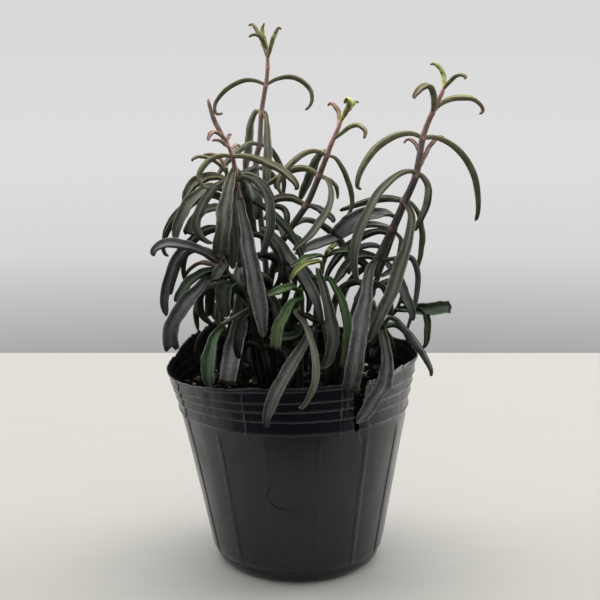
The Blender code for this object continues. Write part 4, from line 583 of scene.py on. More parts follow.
@dataclass(frozen=True)
class PotPlastic:
    """Thin black moulded plastic, dusty and rubbed, with a curved crease on its front; painted shade inside.
    """

    black: Colour = (0.0062, 0.0086, 0.0142)
    # Painted shade on the inside of the wall.
    inside_painted_shade: Colour = (0.0016, 0.0016, 0.0018)
    dust: Colour = (0.068, 0.074, 0.080)
    smooth: float = 0.26
    rubbed: float = 0.44
    gloss: float = 0.08
    coat: float = 0.8
    coat_roughness: float = 0.3
    dust_share: float = 0.07
    speck_share: float = 0.12
    foot_share: float = 0.03
    foot_zone: float = 0.018
    rim_share: float = 0.9
    crease_place: Pair = (-0.0046, 0.0366)
    crease_radius: float = 0.0058
    crease_wander: float = 0.003
    thread_place: Pair = (0.0214, 0.0564)
    thread_lean: float = 0.22
    thread_wander: float = 0.002
    thread_share: float = 0.8

    def material(self) -> bpy.types.Material:
        """Put the finish together.

        Returns:
            The finish as a material.
        """
        shader = Shader("pot_plastic")
        place = shader.place()
        blotches = shader.cloud(place, 55.0, 5.0, 0.6)
        streaks = shader.cloud(place, 260.0, 4.0, 0.6, (1.0, 1.0, 0.12))
        specks = shader.cloud(place, 1400.0, 2.0, 0.5)
        dusty = shader.between(blotches * 0.7 + streaks * 0.3, 0.5, 0.78)
        speckled = shader.between(specks, 0.7, 0.78)
        low = shader.between(shader.axis(place, "Z"), self.foot_zone, 0.0)
        worn = shader.attribute("pot_rim", "Fac") * shader.between(streaks * 0.5 + specks * 0.5, 0.4, 0.6)
        film = (dusty * self.dust_share + speckled * self.speck_share + low * self.foot_share * blotches
                + worn * self.rim_share)
        outside = 1.0 - shader.attribute("pot_inside", "Fac")
        crease = self.crease(shader, place, shader.cloud(place, 190.0, 2.0, 0.5))
        # Painted shade: the inside of the wall is darker and duller than the outside.
        plain = shader.mix(outside, self.inside_painted_shade, self.black)
        dusted = shader.mix(film * outside * (1.0 - crease), plain, self.dust)
        colour = shader.mix(self.thread(shader, place, streaks), dusted, self.dust)
        roughness = self.smooth + (self.rubbed - self.smooth) * shader.between(blotches, 0.35, 0.75)
        dull = roughness + (1.0 - outside) * 0.6
        smooth = outside * (1.0 - dusty * 0.4) * (1.0 - crease * 0.85)
        shader.polish(self.gloss, self.coat_roughness, smooth * self.coat)
        waves = shader.cloud(place, 70.0, 2.0, 0.4, (1.0, 1.0, 0.35))
        soft = shader.bump(waves - crease * 0.6, 0.35, 0.0012)
        fine = shader.bump(streaks + specks * 0.4, 0.18, 0.0002, soft)
        return shader.dress(colour, dull, fine)

    @staticmethod
    def front(shader: Shader, place: Socket) -> Socket:
        """Mark the half of the wall that faces the viewer."""
        return shader.between(shader.axis(place, "Y"), 0.0, -0.01)

    def crease(self, shader: Shader, place: Socket, wander: Socket) -> Socket:
        """Draw the left half of a circle on the front of the wall.

        Args:
            shader: The material's nodes.
            place: Where on the pot a point is.
            wander: What bends the line and makes it patchy.

        Returns:
            How creased the wall is, from 0 to 1.
        """
        right = shader.axis(place, "X") - self.crease_place[0]
        up = shader.axis(place, "Z") - self.crease_place[1]
        reach = (right * right + up * up) ** 0.5
        off = abs(reach + wander * self.crease_wander - self.crease_radius - self.crease_wander / 2)
        line = shader.between(off, 0.0005, 0.0002) * (shader.between(wander, 0.42, 0.58) * 0.55 + 0.35)
        left = shader.between(right + up * 0.6, 0.0012, -0.0005)
        return line * left * self.front(shader, place)

    def thread(self, shader: Shader, place: Socket, wander: Socket) -> Socket:
        """Draw the pale, stretched thread that runs on below the tear.

        Args:
            shader: The material's nodes.
            place: Where on the pot a point is.
            wander: What bends the line.

        Returns:
            How pale the wall is, from 0 to 1.
        """
        up = shader.axis(place, "Z") - self.thread_place[1]
        right = shader.axis(place, "X") - self.thread_place[0] + up * self.thread_lean
        line = shader.between(abs(right + (wander - 0.5) * self.thread_wander), 0.00035, 0.00015)
        span = shader.between(abs(up), 0.0028, 0.0018)
        return line * span * self.front(shader, place) * self.thread_share


@dataclass(frozen=True)
class SoilFinish:
    """Near-black potting soil: dark earth darkened further with painted shade."""

    # Painted shade: both colours are darker than the earth's own, for the plant's shade in the pot.
    dark: Colour = (0.0022, 0.0018, 0.0015)
    brown: Colour = (0.010, 0.006, 0.004)
    gloss: float = 0.03
    top_start: float = 0.061
    top_full: float = 0.066

    def material(self) -> bpy.types.Material:
        """Put the finish together.

        Returns:
            The finish as a material.
        """
        shader = Shader("potting_soil")
        place = shader.place()
        clods = shader.cloud(place, 420.0, 6.0, 0.65)
        grit = shader.cloud(place, 2200.0, 3.0, 0.6)
        top = shader.between(shader.axis(place, "Z"), self.top_start, self.top_full)
        colour = shader.mix(shader.between(clods, 0.45, 0.75) * top, self.dark, self.brown)
        normal = shader.bump(clods + grit * 0.5, 0.9, 0.0012)
        shader.feed(shader.surface.inputs["Specular IOR Level"], self.gloss)
        return shader.dress(colour, 0.8 + clods * 0.2, normal)


@dataclass(frozen=True)
class GrainFinish:
    """A kind of grain that lies in the soil, each grain a little lighter or darker."""

    name: str
    colour: Colour
    spread: float
    roughness: float = 0.85

    def material(self) -> bpy.types.Material:
        """Put the finish together.

        Returns:
            The finish as a material.
        """
        shader = Shader(self.name)
        place = shader.place()
        patches = shader.cloud(place, 300.0, 2.0, 0.5)
        pores = shader.cloud(place, 2600.0, 3.0, 0.6)
        light = tuple(min(1.0, part * (1 + self.spread)) for part in self.colour)
        dark = tuple(part / (1 + self.spread) for part in self.colour)
        lighter = shader.between(patches * 0.6 + pores * 0.4, 0.35, 0.65)
        colour = shader.mix(lighter, dark, light)
        return shader.dress(colour, self.roughness, shader.bump(pores, 0.6, 0.0003))


@dataclass(frozen=True)
class LeafFinish:
    """Waxy skin of leaves and stems, tinted by the mesh with painted light and shade, with pale lips and
    wrinkles. A pale band on the channel's floor is bloom and a painted highlight, and the channel's walls
    carry painted shade.

    Each strip runs along the leaf at places round its section, from 0 under the keel to 1 on the channel's
    floor: where it starts, where it is full, where it starts to fade and where it ends. Narrow leaves and
    stems, where the mesh's leaf_coarse is 0, keep only the mean of the patterns.
    """

    name: str
    edge: Colour = (0.30, 0.285, 0.235)
    # The channel band's colour: bloom and a painted highlight.
    bloom_and_highlight: Colour = (0.25, 0.26, 0.25)
    speck: Colour = (0.50, 0.49, 0.43)
    # Painted shade in the channel's walls.
    shadow: Colour = (0.012, 0.013, 0.010)
    lip_strip: tuple[float, float, float, float] = (0.57, 0.61, 0.65, 0.71)
    valley_strip: tuple[float, float, float, float] = (0.7, 0.8, 0.86, 0.97)
    floor_start: float = 0.9
    edge_share: float = 0.75
    gain: float = 3.15
    gloss: float = 0.02
    coat: float = 0.32
    coat_roughness: float = 0.42
    bloom_and_highlight_share: float = 0.35
    valley_share: float = 0.6
    speck_share: float = 0.6
    waxy: float = 0.36
    dull: float = 0.6

    def material(self) -> bpy.types.Material:
        """Put the finish together.

        Returns:
            The finish as a material.
        """
        shader = Shader(self.name)
        place = shader.attribute("leaf_place")
        grain = shader.attribute("leaf_grain")
        # The tint comes darkened with painted shade; its alpha is the painted light itself.
        tint = shader.attribute("leaf_tint", "Color")
        painted_light = shader.attribute("leaf_tint", "Alpha")
        coarse = shader.attribute("leaf_coarse", "Fac")
        around = shader.axis(place, "Z")
        mottle = shader.between(shader.cloud(grain, 0.8, 4.0, 0.6, (0.35, 0.7, 1.0)), 0.3, 0.7)
        lines = shader.between(shader.cloud(grain, 1.2, 3.0, 0.6, (0.07, 1.1, 1.0)), 0.3, 0.7)
        patchy = shader.between(shader.cloud(grain, 1.0, 3.0, 0.6, (0.16, 0.25, 1.0)), 0.4, 0.62)
        fine = shader.cloud(grain, 1.7, 5.0, 0.75, (0.6, 1.0, 1.0))
        freckles = shader.between(fine, 0.36, 0.64)

        def calmed(pattern: Socket, mean: float) -> Socket:
            """Bring a pattern to its mean where the leaf is narrow."""
            return (pattern - mean) * coarse + mean

        depth = calmed(mottle * 0.5 + lines * 0.7 + freckles * 0.75, 0.95) * self.gain
        shade = shader.add("ShaderNodeCombineColor", {}, {part: depth for part in ("Red", "Green", "Blue")})
        body = shader.mix(1.0, tint, shade, "MULTIPLY")
        broad = coarse * 0.6 + 0.4
        # Painted shade: the channel's walls darken towards the shadow colour.
        valley = self.strip(shader, around, self.valley_strip)
        darker = shader.mix(valley * broad * self.valley_share, body, self.shadow)
        # Bloom and painted highlight: the channel's floor pales where the painted light is strong.
        floor = shader.between(around, self.floor_start, 1.0)
        floor = floor * calmed(shader.between(mottle + lines, 0.8, 1.6), 0.3)
        with_bloom_and_highlight = shader.mix(floor * painted_light * self.bloom_and_highlight_share, darker, self.bloom_and_highlight)
        # Pale lips, made paler where the painted light is strong.
        lip = self.strip(shader, around, self.lip_strip)
        worn = (patchy * 0.8 - 0.5) * coarse + 0.7
        rimmed = shader.mix(lip * painted_light * worn * broad * self.edge_share, with_bloom_and_highlight, self.edge)
        # The pale specks fade with the painted shade.
        scars = shader.between(fine + mottle * 0.1, 0.78, 0.8) * painted_light * coarse * self.speck_share
        colour = shader.mix(scars, rimmed, self.speck)
        roughness = self.waxy + (self.dull - self.waxy) * shader.between(mottle, 0.3, 0.7)
        wrinkled = shader.bump(lines * coarse, 0.5, 0.0006)
        normal = shader.bump(fine * coarse, 0.2, 0.0002, wrinkled)
        # The coat thins with the painted shade.
        shader.polish(self.gloss, self.coat_roughness, painted_light * self.coat)
        return shader.dress(colour, roughness, normal)

    @staticmethod
    def strip(shader: Shader, around: Socket, places: tuple[float, float, float, float]) -> Socket:
        """Mark a strip along the leaf, by four places round its section."""
        start, full, fading, end = places
        return shader.between(around, start, full) * shader.between(around, end, fading)


@dataclass(frozen=True)
class FloorFinish:
    """Plain pale painted floor."""

    pale: Colour = (0.655, 0.64, 0.59)

    def material(self) -> bpy.types.Material:
        """Put the finish together.

        Returns:
            The finish as a material.
        """
        shader = Shader("floor_paint")
        brushed = shader.cloud(shader.place(), 60.0, 4.0, 0.6, (0.3, 3.0, 1.0))
        darker = tuple(part * 0.94 for part in self.pale)
        colour = shader.mix(brushed, self.pale, darker)
        return shader.dress(colour, 0.6, shader.bump(brushed, 0.1, 0.0005))


# Ways of working on a mesh


def deselect_all() -> None:
    """Leave nothing selected."""
    bpy.ops.object.select_all(action="DESELECT")


def take(item: Item) -> None:
    """Select one object alone, and make it the active one.

    Args:
        item: The object.
    """
    deselect_all()
    bpy.context.view_layer.objects.active = item
    item.select_set(True)


@contextmanager
def editing(item: Item) -> Iterator[None]:
    """Hold one object in edit mode.

    Args:
        item: The object.

    Yields:
        Nothing, while the object is in edit mode.
    """
    take(item)
    bpy.ops.object.mode_set(mode="EDIT")
    try:
        yield
    finally:
        bpy.ops.object.mode_set(mode="OBJECT")


def select_points(item: Item, wanted: Callable[[Vector], bool]) -> None:
    """Select the points in edit mode that a test passes, and no others.

    Args:
        item: The object.
        wanted: The test of a point's place.
    """
    bpy.ops.mesh.select_mode(type="VERT")
    bpy.ops.mesh.select_all(action="DESELECT")
    form = bmesh.from_edit_mesh(item.data)
    for point in form.verts:
        point.select_set(wanted(point.co))
    form.select_flush_mode()
    bmesh.update_edit_mesh(item.data)


def select_edges(item: Item, wanted: Callable[[Vector, Vector], bool]) -> None:
    """Select the edges in edit mode whose two ends pass a test, and no others.

    Args:
        item: The object.
        wanted: The test of two ends' places.
    """
    bpy.ops.mesh.select_mode(type="EDGE")
    bpy.ops.mesh.select_all(action="DESELECT")
    form = bmesh.from_edit_mesh(item.data)
    for edge in form.edges:
        edge.select_set(wanted(edge.verts[0].co, edge.verts[1].co))
    bmesh.update_edit_mesh(item.data)


def named(item: Item, name: str) -> Item:
    """Give an object and its mesh a name.

    Args:
        item: The object.
        name: Its name.

    Returns:
        The same object.
    """
    item.name = name
    item.data.name = name
    return item


def copied(master: Item) -> Item:
    """Copy an object with a mesh of its own.

    Args:
        master: The object to copy.

    Returns:
        The copy.
    """
    item = bpy.data.objects.new(master.name + "_copy", master.data.copy())
    bpy.context.scene.collection.objects.link(item)
    return item


def joined(name: str, items: Sequence[Item]) -> Item:
    """Join objects into one.

    Args:
        name: What the joined object is called.
        items: The objects, which it swallows.

    Returns:
        The joined object.
    """
    deselect_all()
    for item in items:
        item.select_set(True)
    bpy.context.view_layer.objects.active = items[0]
    bpy.ops.object.join()
    return named(items[0], name)


def apply_modifiers(item: Item) -> None:
    """Apply every modifier of an object.

    Args:
        item: The object.
    """
    take(item)
    for name in [modifier.name for modifier in item.modifiers]:
        bpy.ops.object.modifier_apply(modifier=name)


def shade_smooth(item: Item, degrees: float) -> None:
    """Shade an object smooth but for the edges that are sharper than an angle."""
    take(item)
    bpy.ops.object.shade_smooth_by_angle(angle=math.radians(degrees))


def read_points(item: Item) -> Array:
    """Read a mesh's points, one in a row.

    Args:
        item: The object.

    Returns:
        The points, in metres.
    """
    flat = np.empty(len(item.data.vertices) * 3)
    item.data.vertices.foreach_get("co", flat)
    return flat.reshape(-1, 3)


def write_points(item: Item, points: Array) -> None:
    """Write a mesh's points."""
    item.data.vertices.foreach_set("co", points.ravel())
    item.data.update()


def write_attribute(item: Item, name: str, kind: str, values: Array) -> None:
    """Write an attribute on a mesh's points.

    Args:
        item: The object with the mesh.
        name: The attribute's name.
        kind: Its type: FLOAT, FLOAT_VECTOR or FLOAT_COLOR.
        values: A value, or a row of values, for each point.
    """
    attribute = item.data.attributes.new(name, kind, "POINT")
    part = {"FLOAT": "value", "FLOAT_COLOR": "color"}.get(kind, "vector")
    attribute.data.foreach_set(part, values.ravel())


def dress(item: Item, material: bpy.types.Material) -> None:
    """Give an object its only material."""
    item.data.materials.clear()
    item.data.materials.append(material)


def hand_over(item: Item, node: str | None = None) -> None:
    """Make a piece part of the object.

    Args:
        item: The piece, at the origin.
        node: The solid that it stands for, if there is one.
    """
    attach(item, BODY)
    if node is not None:
        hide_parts(node)
    log.info("%s: %d faces", item.name, len(item.data.polygons))


def lathe(name: str, sides: int, rings: Sequence[Pair]) -> Item:
    """Model a round sheet by pulling a small disc's edge outwards, ring by ring.

    Args:
        name: The piece's name.
        sides: How many sides it has.
        rings: The radius and height of each ring, the disc first.

    Returns:
        The sheet, with points in rows of rings, in metres.
    """
    deselect_all()
    radius, height = rings[0]
    bpy.ops.mesh.primitive_circle_add(vertices=sides, radius=radius * MM, fill_type="NGON",
                                      location=(0, 0, height * MM))
    item = named(bpy.context.object, name)
    bpy.ops.object.transform_apply(location=True, rotation=True, scale=True)
    with editing(item):
        select_edges(item, lambda first, second: True)
        for radius_here, height_here in rings[1:]:
            grown = radius_here / radius
            bpy.ops.mesh.extrude_edges_move(
                TRANSFORM_OT_translate={"value": (0, 0, (height_here - height) * MM)})
            bpy.ops.transform.resize(value=(grown, grown, 1), center_override=(0, 0, height_here * MM))
            radius, height = radius_here, height_here
        bpy.ops.mesh.select_all(action="SELECT")
        bpy.ops.mesh.flip_normals()
    return item


def ramp(values: Array, start: float, reach: float) -> Array:
    """Rise from 0 at the start to 1 at the end of the reach, level on both sides."""
    return np.clip((values - start) / reach, 0, 1)


def bump_at(values: Array, middle: float, width: float) -> Array:
    """Give a round bump that is 1 at its middle."""
    return np.exp(-((values - middle) / width) ** 2)


def turned_from(azimuth: Array, middle: float) -> Array:
    """Give how far azimuths lie from a middle one, to either side."""
    return (azimuth - middle + math.pi) % math.tau - math.pi


def ring_noise(azimuth: Array, height: Array, radius: float, rise: float, shift: float = 0.0) -> Array:
    """Give noise that closes round the pot.

    Args:
        azimuth: The azimuth of each point.
        height: The height of each point.
        radius: How fast the noise changes round the pot.
        rise: The height over which it changes upwards.
        shift: Where in the noise it is read.

    Returns:
        A value from -1 to 1 for each point.
    """
    return np.array([noise.noise(Vector((math.cos(a) * radius, math.sin(a) * radius, h / rise + shift)))
                     for a, h in zip(azimuth, height)])


# The pot and the soil


@dataclass(frozen=True)
class PotForm:
    """The pot's main sizes, and how its soft wall leans and sags.

    Each dent is its azimuth and spread in degrees, and how far the rim is pulled outwards and upwards there.
    """

    height: float = 78.0
    rim_radius: float = 45.0
    foot_radius: float = 30.6
    wall: float = 0.9
    foot_rounding: float = 4.5
    floor_thickness: float = 1.4
    rim_lean: float = -1.9
    rim_sag: float = 5.2
    sag_azimuth: float = math.radians(196.0)
    sag_sharpness: float = 5.0
    sag_reach: float = 5.0
    left_pinch: float = 0.6
    pinch_sharpness: float = 6.0
    pinch_reach: float = 2.0
    dents: tuple[tuple[float, float, float, float], ...] = (
        (140.0, 17.0, 0.0, 4.5), (25.0, 14.0, 1.4, 0.0), (-4.0, 9.0, 0.5, 0.0), (-28.0, 13.0, -1.4, 0.4))
    dent_reach: float = 14.0

    def radius(self, height: float | Array) -> float | Array:
        """Return the outer radius of the plain tapered wall."""
        return self.foot_radius + (self.rim_radius - self.foot_radius) * height / self.height

    def slump(self, points: Array) -> Array:
        """Lean the pot and pull its soft rim out of round.

        Args:
            points: Points in millimetres, one in a row.

        Returns:
            The moved points.
        """
        right, behind, up = points.T
        share = np.maximum(0.0, up / self.height)
        azimuth = np.arctan2(behind, right)
        out = np.hypot(right, behind) / self.rim_radius
        leftward = np.maximum(0.0, -right / self.rim_radius)
        pinch = self.left_pinch * leftward ** self.pinch_sharpness * share ** self.pinch_reach
        towards = (1 + np.cos(azimuth - self.sag_azimuth) * out) / 2
        sag = self.rim_sag * np.maximum(0.0, towards) ** self.sag_sharpness * share ** self.sag_reach
        pulled = np.zeros_like(share)
        for degrees, spread, outwards, upwards in self.dents:
            off = turned_from(azimuth, math.radians(degrees))
            near = bump_at(off, 0.0, math.radians(spread)) * out ** 2 * share ** self.dent_reach
            pulled += outwards * near
            sag -= upwards * near
        return np.stack([right + self.rim_lean * share - pinch + pulled * np.cos(azimuth),
                         behind + pulled * np.sin(azimuth), up - sag], axis=1)


POT_FORM = PotForm()


@dataclass
class Pot:
    """The thin black pot: a turned sheet with raised rings and narrow upright bands, torn at the rim.

    Each of step_heights is where a bead runs round and the wall above it steps out. The upright bands stand
    evenly round from band_start, the first as high as the pot, and the two seams run only over the rings.
    """

    form: PotForm = POT_FORM
    sheet: float = 0.7
    foot_hollow: float = 0.9
    smooth_angle: float = 38.0
    step_heights: tuple[float, ...] = (59.8, 64.6, 68.4, 71.9, 76.3)
    step_half: float = 0.6
    bead_proud: float = 0.34
    lip_proud: float = 0.28
    lip_depth: float = 1.4
    rim_rings: int = 5
    foot_line: float = 4.6
    groove_depth: float = 0.25
    groove_width: float = 0.35
    band_count: int = 14
    band_start: float = math.radians(-155.0)
    band_half_width: float = 0.65
    band_proud: float = 0.26
    band_edge: float = 0.16
    band_edge_width: float = 0.18
    band_bottom: float = 5.0
    band_top: float = 57.0
    band_ease: float = 1.5
    faint_bands: tuple[int, ...] = (2, 3)
    faint_share: float = 0.4
    seams: tuple[float, ...] = (math.radians(-112.0), math.radians(-68.0))
    seam_bottom: float = 56.5
    seam_proud: float = 0.16
    seam_width: float = 0.35
    tear_azimuth: float = math.radians(-59.5)
    tear_top_width: float = 4.4
    tear_bottom: float = 58.0
    tear_drift: float = 0.6
    tear_reach: float = 7.0
    tear_lift: float = 0.9
    tear_sink: float = 0.35
    drain_holes: int = 6
    drain_radius: float = 3.0
    drain_ring: float = 19.0
    ragged_azimuth: float = math.radians(158.0)
    ragged_spread: float = math.radians(22.0)
    ragged_depth: float = 2.4
    rim_zone: float = 3.5
    wander_reach: float = 0.5
    ripple_reach: float = 0.14
    crinkle_reach: float = 0.16
    crinkle_bottom: float = 58.0

    def rings(self) -> list[Pair]:
        """Give the rings of the outer face, from the middle of the foot to the rim.

        Returns:
            The radius and height of each ring.
        """
        form = self.form
        rings = [(0.5, self.foot_hollow)]
        rings += [(radius, self.foot_hollow) for radius in np.arange(4.0, form.foot_radius - 6.0, 3.0)]
        rings += [(form.foot_radius - 5.6, self.foot_hollow), (form.foot_radius - 5.0, 0.3),
                  (form.foot_radius - 4.6, 0.0)]
        for turn in np.radians(np.arange(0.0, 90.1, 15.0)):
            rings.append((form.foot_radius - form.foot_rounding * (1 - math.sin(turn)),
                          form.foot_rounding * (1 - math.cos(turn))))
        heights = list(np.arange(form.foot_rounding + 1.5, self.step_heights[0] - 2.0, 2.2))
        for low, high in zip(self.step_heights, [*self.step_heights[1:], form.height - self.lip_depth]):
            heights += list(low + self.step_half * np.linspace(-1.3, 1.3, 13))
            if high - low > 4 * self.step_half:
                heights += list(np.linspace(low + 2 * self.step_half, high - 2 * self.step_half, 3))
        for height in heights:
            rings.append((self.radius_at(float(height)), float(height)))
        top = form.radius(form.height)
        rings += [(top + self.lip_proud, form.height - 0.7), (top + self.lip_proud, form.height - 0.25),
                  (top + 0.6 * self.lip_proud, form.height)]
        return rings

    def radius_at(self, height: float) -> float:
        """Give the outer face's radius: plain below, then upright bands with a bead under each.

        Args:
            height: The height above the foot.

        Returns:
            The radius there, before the pot slumps.
        """
        knots, radii = [0.0], [float(self.form.radius(0.0))]
        before = float(self.form.radius(self.step_heights[0]))
        for low, high in zip(self.step_heights, [*self.step_heights[1:], self.form.height]):
            band = float(self.form.radius((low + high) / 2))
            knots += [low - self.step_half, low + self.step_half]
            radii += [before, band]
            before = band
        radius = float(np.interp(height, knots, radii))
        for low in self.step_heights:
            radius += self.bead_proud * math.sqrt(max(0.0, 1 - ((height - low) / self.step_half) ** 2))
        return radius

    def azimuths(self) -> Array:
        """Give the azimuths of the sheet's columns, close together at the bands and at the tear.

        Returns:
            The azimuths in rising order.
        """
        gap = math.tau / self.band_count
        near_band = np.linspace(-0.03, 0.03, 11)
        between = np.linspace(0.055, gap - 0.055, 13)
        columns = [self.band_start + gap * index + np.concatenate([near_band, between])
                   for index in range(self.band_count)]
        columns += [seam + np.linspace(-0.018, 0.018, 7) for seam in self.seams]
        near_tear = self.tear_azimuth + np.linspace(-0.14, 0.14, 30)
        inside = [column for column in np.concatenate(columns)
                  if abs(math.remainder(column - self.tear_azimuth, math.tau)) > 0.15]
        wrapped = [math.remainder(column, math.tau) for column in [*inside, *near_tear]]
        return np.sort(wrapped)

    def build(self) -> Item:
        """Model the pot.

        Returns:
            The pot.
        """
        azimuths = self.azimuths()
        sides = len(azimuths)
        item = lathe("nursery_pot", sides, self.rings())
        self.cut_tear(item, azimuths)
        points = read_points(item) / MM
        self.shape(points, azimuths)
        write_points(item, self.form.slump(points) * MM)
        at_rim = np.arange(len(points)) >= len(points) - self.rim_rings * sides
        write_attribute(item, "pot_rim", "FLOAT", at_rim.astype(float))
        wall = item.modifiers.new("wall", "SOLIDIFY")
        wall.thickness = self.sheet * MM
        wall.offset = -1.0
        outer = len(points)
        apply_modifiers(item)
        inside = np.arange(len(item.data.vertices)) >= outer
        write_attribute(item, "pot_inside", "FLOAT", inside.astype(float))
        self.drill(item)
        shade_smooth(item, self.smooth_angle)
        return item

    def cut_tear(self, item: Item, azimuths: Array) -> None:
        """Open the strip of faces where the wall is torn.

        Args:
            item: The sheet, still round.
            azimuths: Where its columns of points will stand.
        """
        sides = len(azimuths)
        before = int(np.searchsorted(azimuths, self.tear_azimuth)) - 1
        with editing(item):
            form = bmesh.from_edit_mesh(item.data)
            form.faces.ensure_lookup_table()
            bpy.ops.mesh.select_mode(type="FACE")
            bpy.ops.mesh.select_all(action="DESELECT")
            for face in form.faces:
                low = min(point.co.z for point in face.verts) / MM
                columns = {point.index % sides for point in face.verts}
                face.select_set(low > self.tear_bottom and columns == {before, before + 1})
            bmesh.update_edit_mesh(item.data)
            bpy.ops.mesh.delete(type="FACE")

    def shape(self, points: Array, azimuths: Array) -> None:
        """Raise the bands, the waves and the torn edges, in place.

        Args:
            points: The sheet's points in rows of rings, in millimetres.
            azimuths: Where the columns of points stand.
        """
        form = self.form
        azimuth = np.tile(azimuths, len(points) // len(azimuths))
        radius = np.hypot(points[:, 0], points[:, 1])
        height = points[:, 2].copy()
        on_wall = height > form.foot_rounding * 0.6
        raised = self.bands(azimuth, radius, height)
        for seam in self.seams:
            near = bump_at((azimuth - seam) * radius, 0.0, self.seam_width)
            raised = raised + self.seam_proud * near * ramp(height, self.seam_bottom, self.band_ease)
        radius = radius + np.where(on_wall, raised, 0.0)
        groove = self.groove_depth * bump_at(height, self.foot_line, self.groove_width)
        radius = radius - np.where(on_wall, groove, 0.0)
        share = np.clip(height / form.height, 0, 1)
        wander = ring_noise(azimuth, height, 1.6, 30)
        ripple = ring_noise(azimuth, height, 9, 40, 7)
        crinkle = ring_noise(azimuth, height, 24, 5) * ramp(height, self.crinkle_bottom, 4)
        waves = (wander * self.wander_reach * share ** 2 + ripple * self.ripple_reach * share
                 + crinkle * self.crinkle_reach)
        radius = radius + np.where(on_wall, waves, 0.0)
        rim = ramp(height, form.height - self.rim_zone, self.rim_zone)
        ragged = turned_from(azimuth, self.ragged_azimuth)
        notch = self.ragged_depth * bump_at(ragged, 0.0, self.ragged_spread) * np.abs(crinkle)
        height = height + rim * (ripple * 0.55 + 0.25 * np.sin(azimuth * 37) * ripple + crinkle * 0.4 - notch)
        azimuth, radius = self.torn(azimuth, radius, height)
        points[:, 0] = radius * np.cos(azimuth)
        points[:, 1] = radius * np.sin(azimuth)
        points[:, 2] = np.maximum(height, 0.0)

    def bands(self, azimuth: Array, radius: Array, height: Array) -> Array:
        """Give how proud the narrow upright bands make each point.

        Args:
            azimuth: The azimuth of each point.
            radius: Its distance from the axis.
            height: Its height.

        Returns:
            How far each point moves outwards.
        """
        gap = math.tau / self.band_count
        off = np.abs((azimuth - self.band_start + gap / 2) % gap - gap / 2) * radius
        nearest = np.rint((azimuth - self.band_start) / gap) % self.band_count
        strength = np.where(np.isin(nearest, self.faint_bands), self.faint_share, 1.0)
        first = np.abs(turned_from(azimuth, self.band_start)) < gap / 2
        top = np.where(first, self.form.height, self.band_top)
        ends = ramp(height, self.band_bottom, self.band_ease) * np.clip((top - height) / self.band_ease, 0, 1)
        flat = np.clip((self.band_half_width + 0.15 - off) / 0.3, 0, 1)
        edges = bump_at(off, self.band_half_width, self.band_edge_width)
        return (self.band_proud * flat + self.band_edge * edges) * ends * strength

    def torn(self, azimuth: Array, radius: Array, height: Array) -> tuple[Array, Array]:
        """Draw the columns beside the tear apart, and lift its right lip.

        Args:
            azimuth: The azimuth of each point.
            radius: Its distance from the axis.
            height: Its height.

        Returns:
            The moved azimuths and distances.
        """
        off = (azimuth - self.tear_azimuth) * radius
        open_share = ramp(height, self.tear_bottom, self.form.height - self.tear_bottom)
        ragged = 0.22 * np.sin(height * 2.3) + 0.15 * np.sin(height * 5.1 + 1.0)
        gape = self.tear_top_width / 2 * (0.1 + 0.9 * open_share ** 0.6) + ragged * 0.6
        half = np.maximum(np.where(open_share > 0, gape, 0.0), 0.0)
        near = np.clip(1 - np.abs(off) / self.tear_reach, 0, 1)
        side = np.where(off >= 0, 1.0, -1.0)
        drift = -self.tear_drift * (1 - open_share) * np.clip(open_share * 8, 0, 1)
        moved = off + (side * half - drift) * near * np.clip(open_share * 12, 0, 1)
        lifted = radius + np.where(off > 0, self.tear_lift, -self.tear_sink) * near ** 2 * open_share ** 1.5
        return self.tear_azimuth + moved / radius, lifted

    def drill(self, item: Item) -> None:
        """Cut the drain holes.

        Args:
            item: The pot.
        """
        cutters = []
        for index in range(self.drain_holes):
            azimuth = math.tau * (index + 0.5) / self.drain_holes
            deselect_all()
            spot = (self.drain_ring * math.cos(azimuth) * MM, self.drain_ring * math.sin(azimuth) * MM, 0)
            bpy.ops.mesh.primitive_cylinder_add(vertices=32, radius=self.drain_radius * MM, depth=8 * MM,
                                                location=spot)
            cutters.append(bpy.context.object)
        drills = joined("drills", cutters)
        cut = item.modifiers.new("drain", "BOOLEAN")
        cut.operation = "DIFFERENCE"
        cut.object = drills
        apply_modifiers(item)
        bpy.data.objects.remove(drills, do_unlink=True)


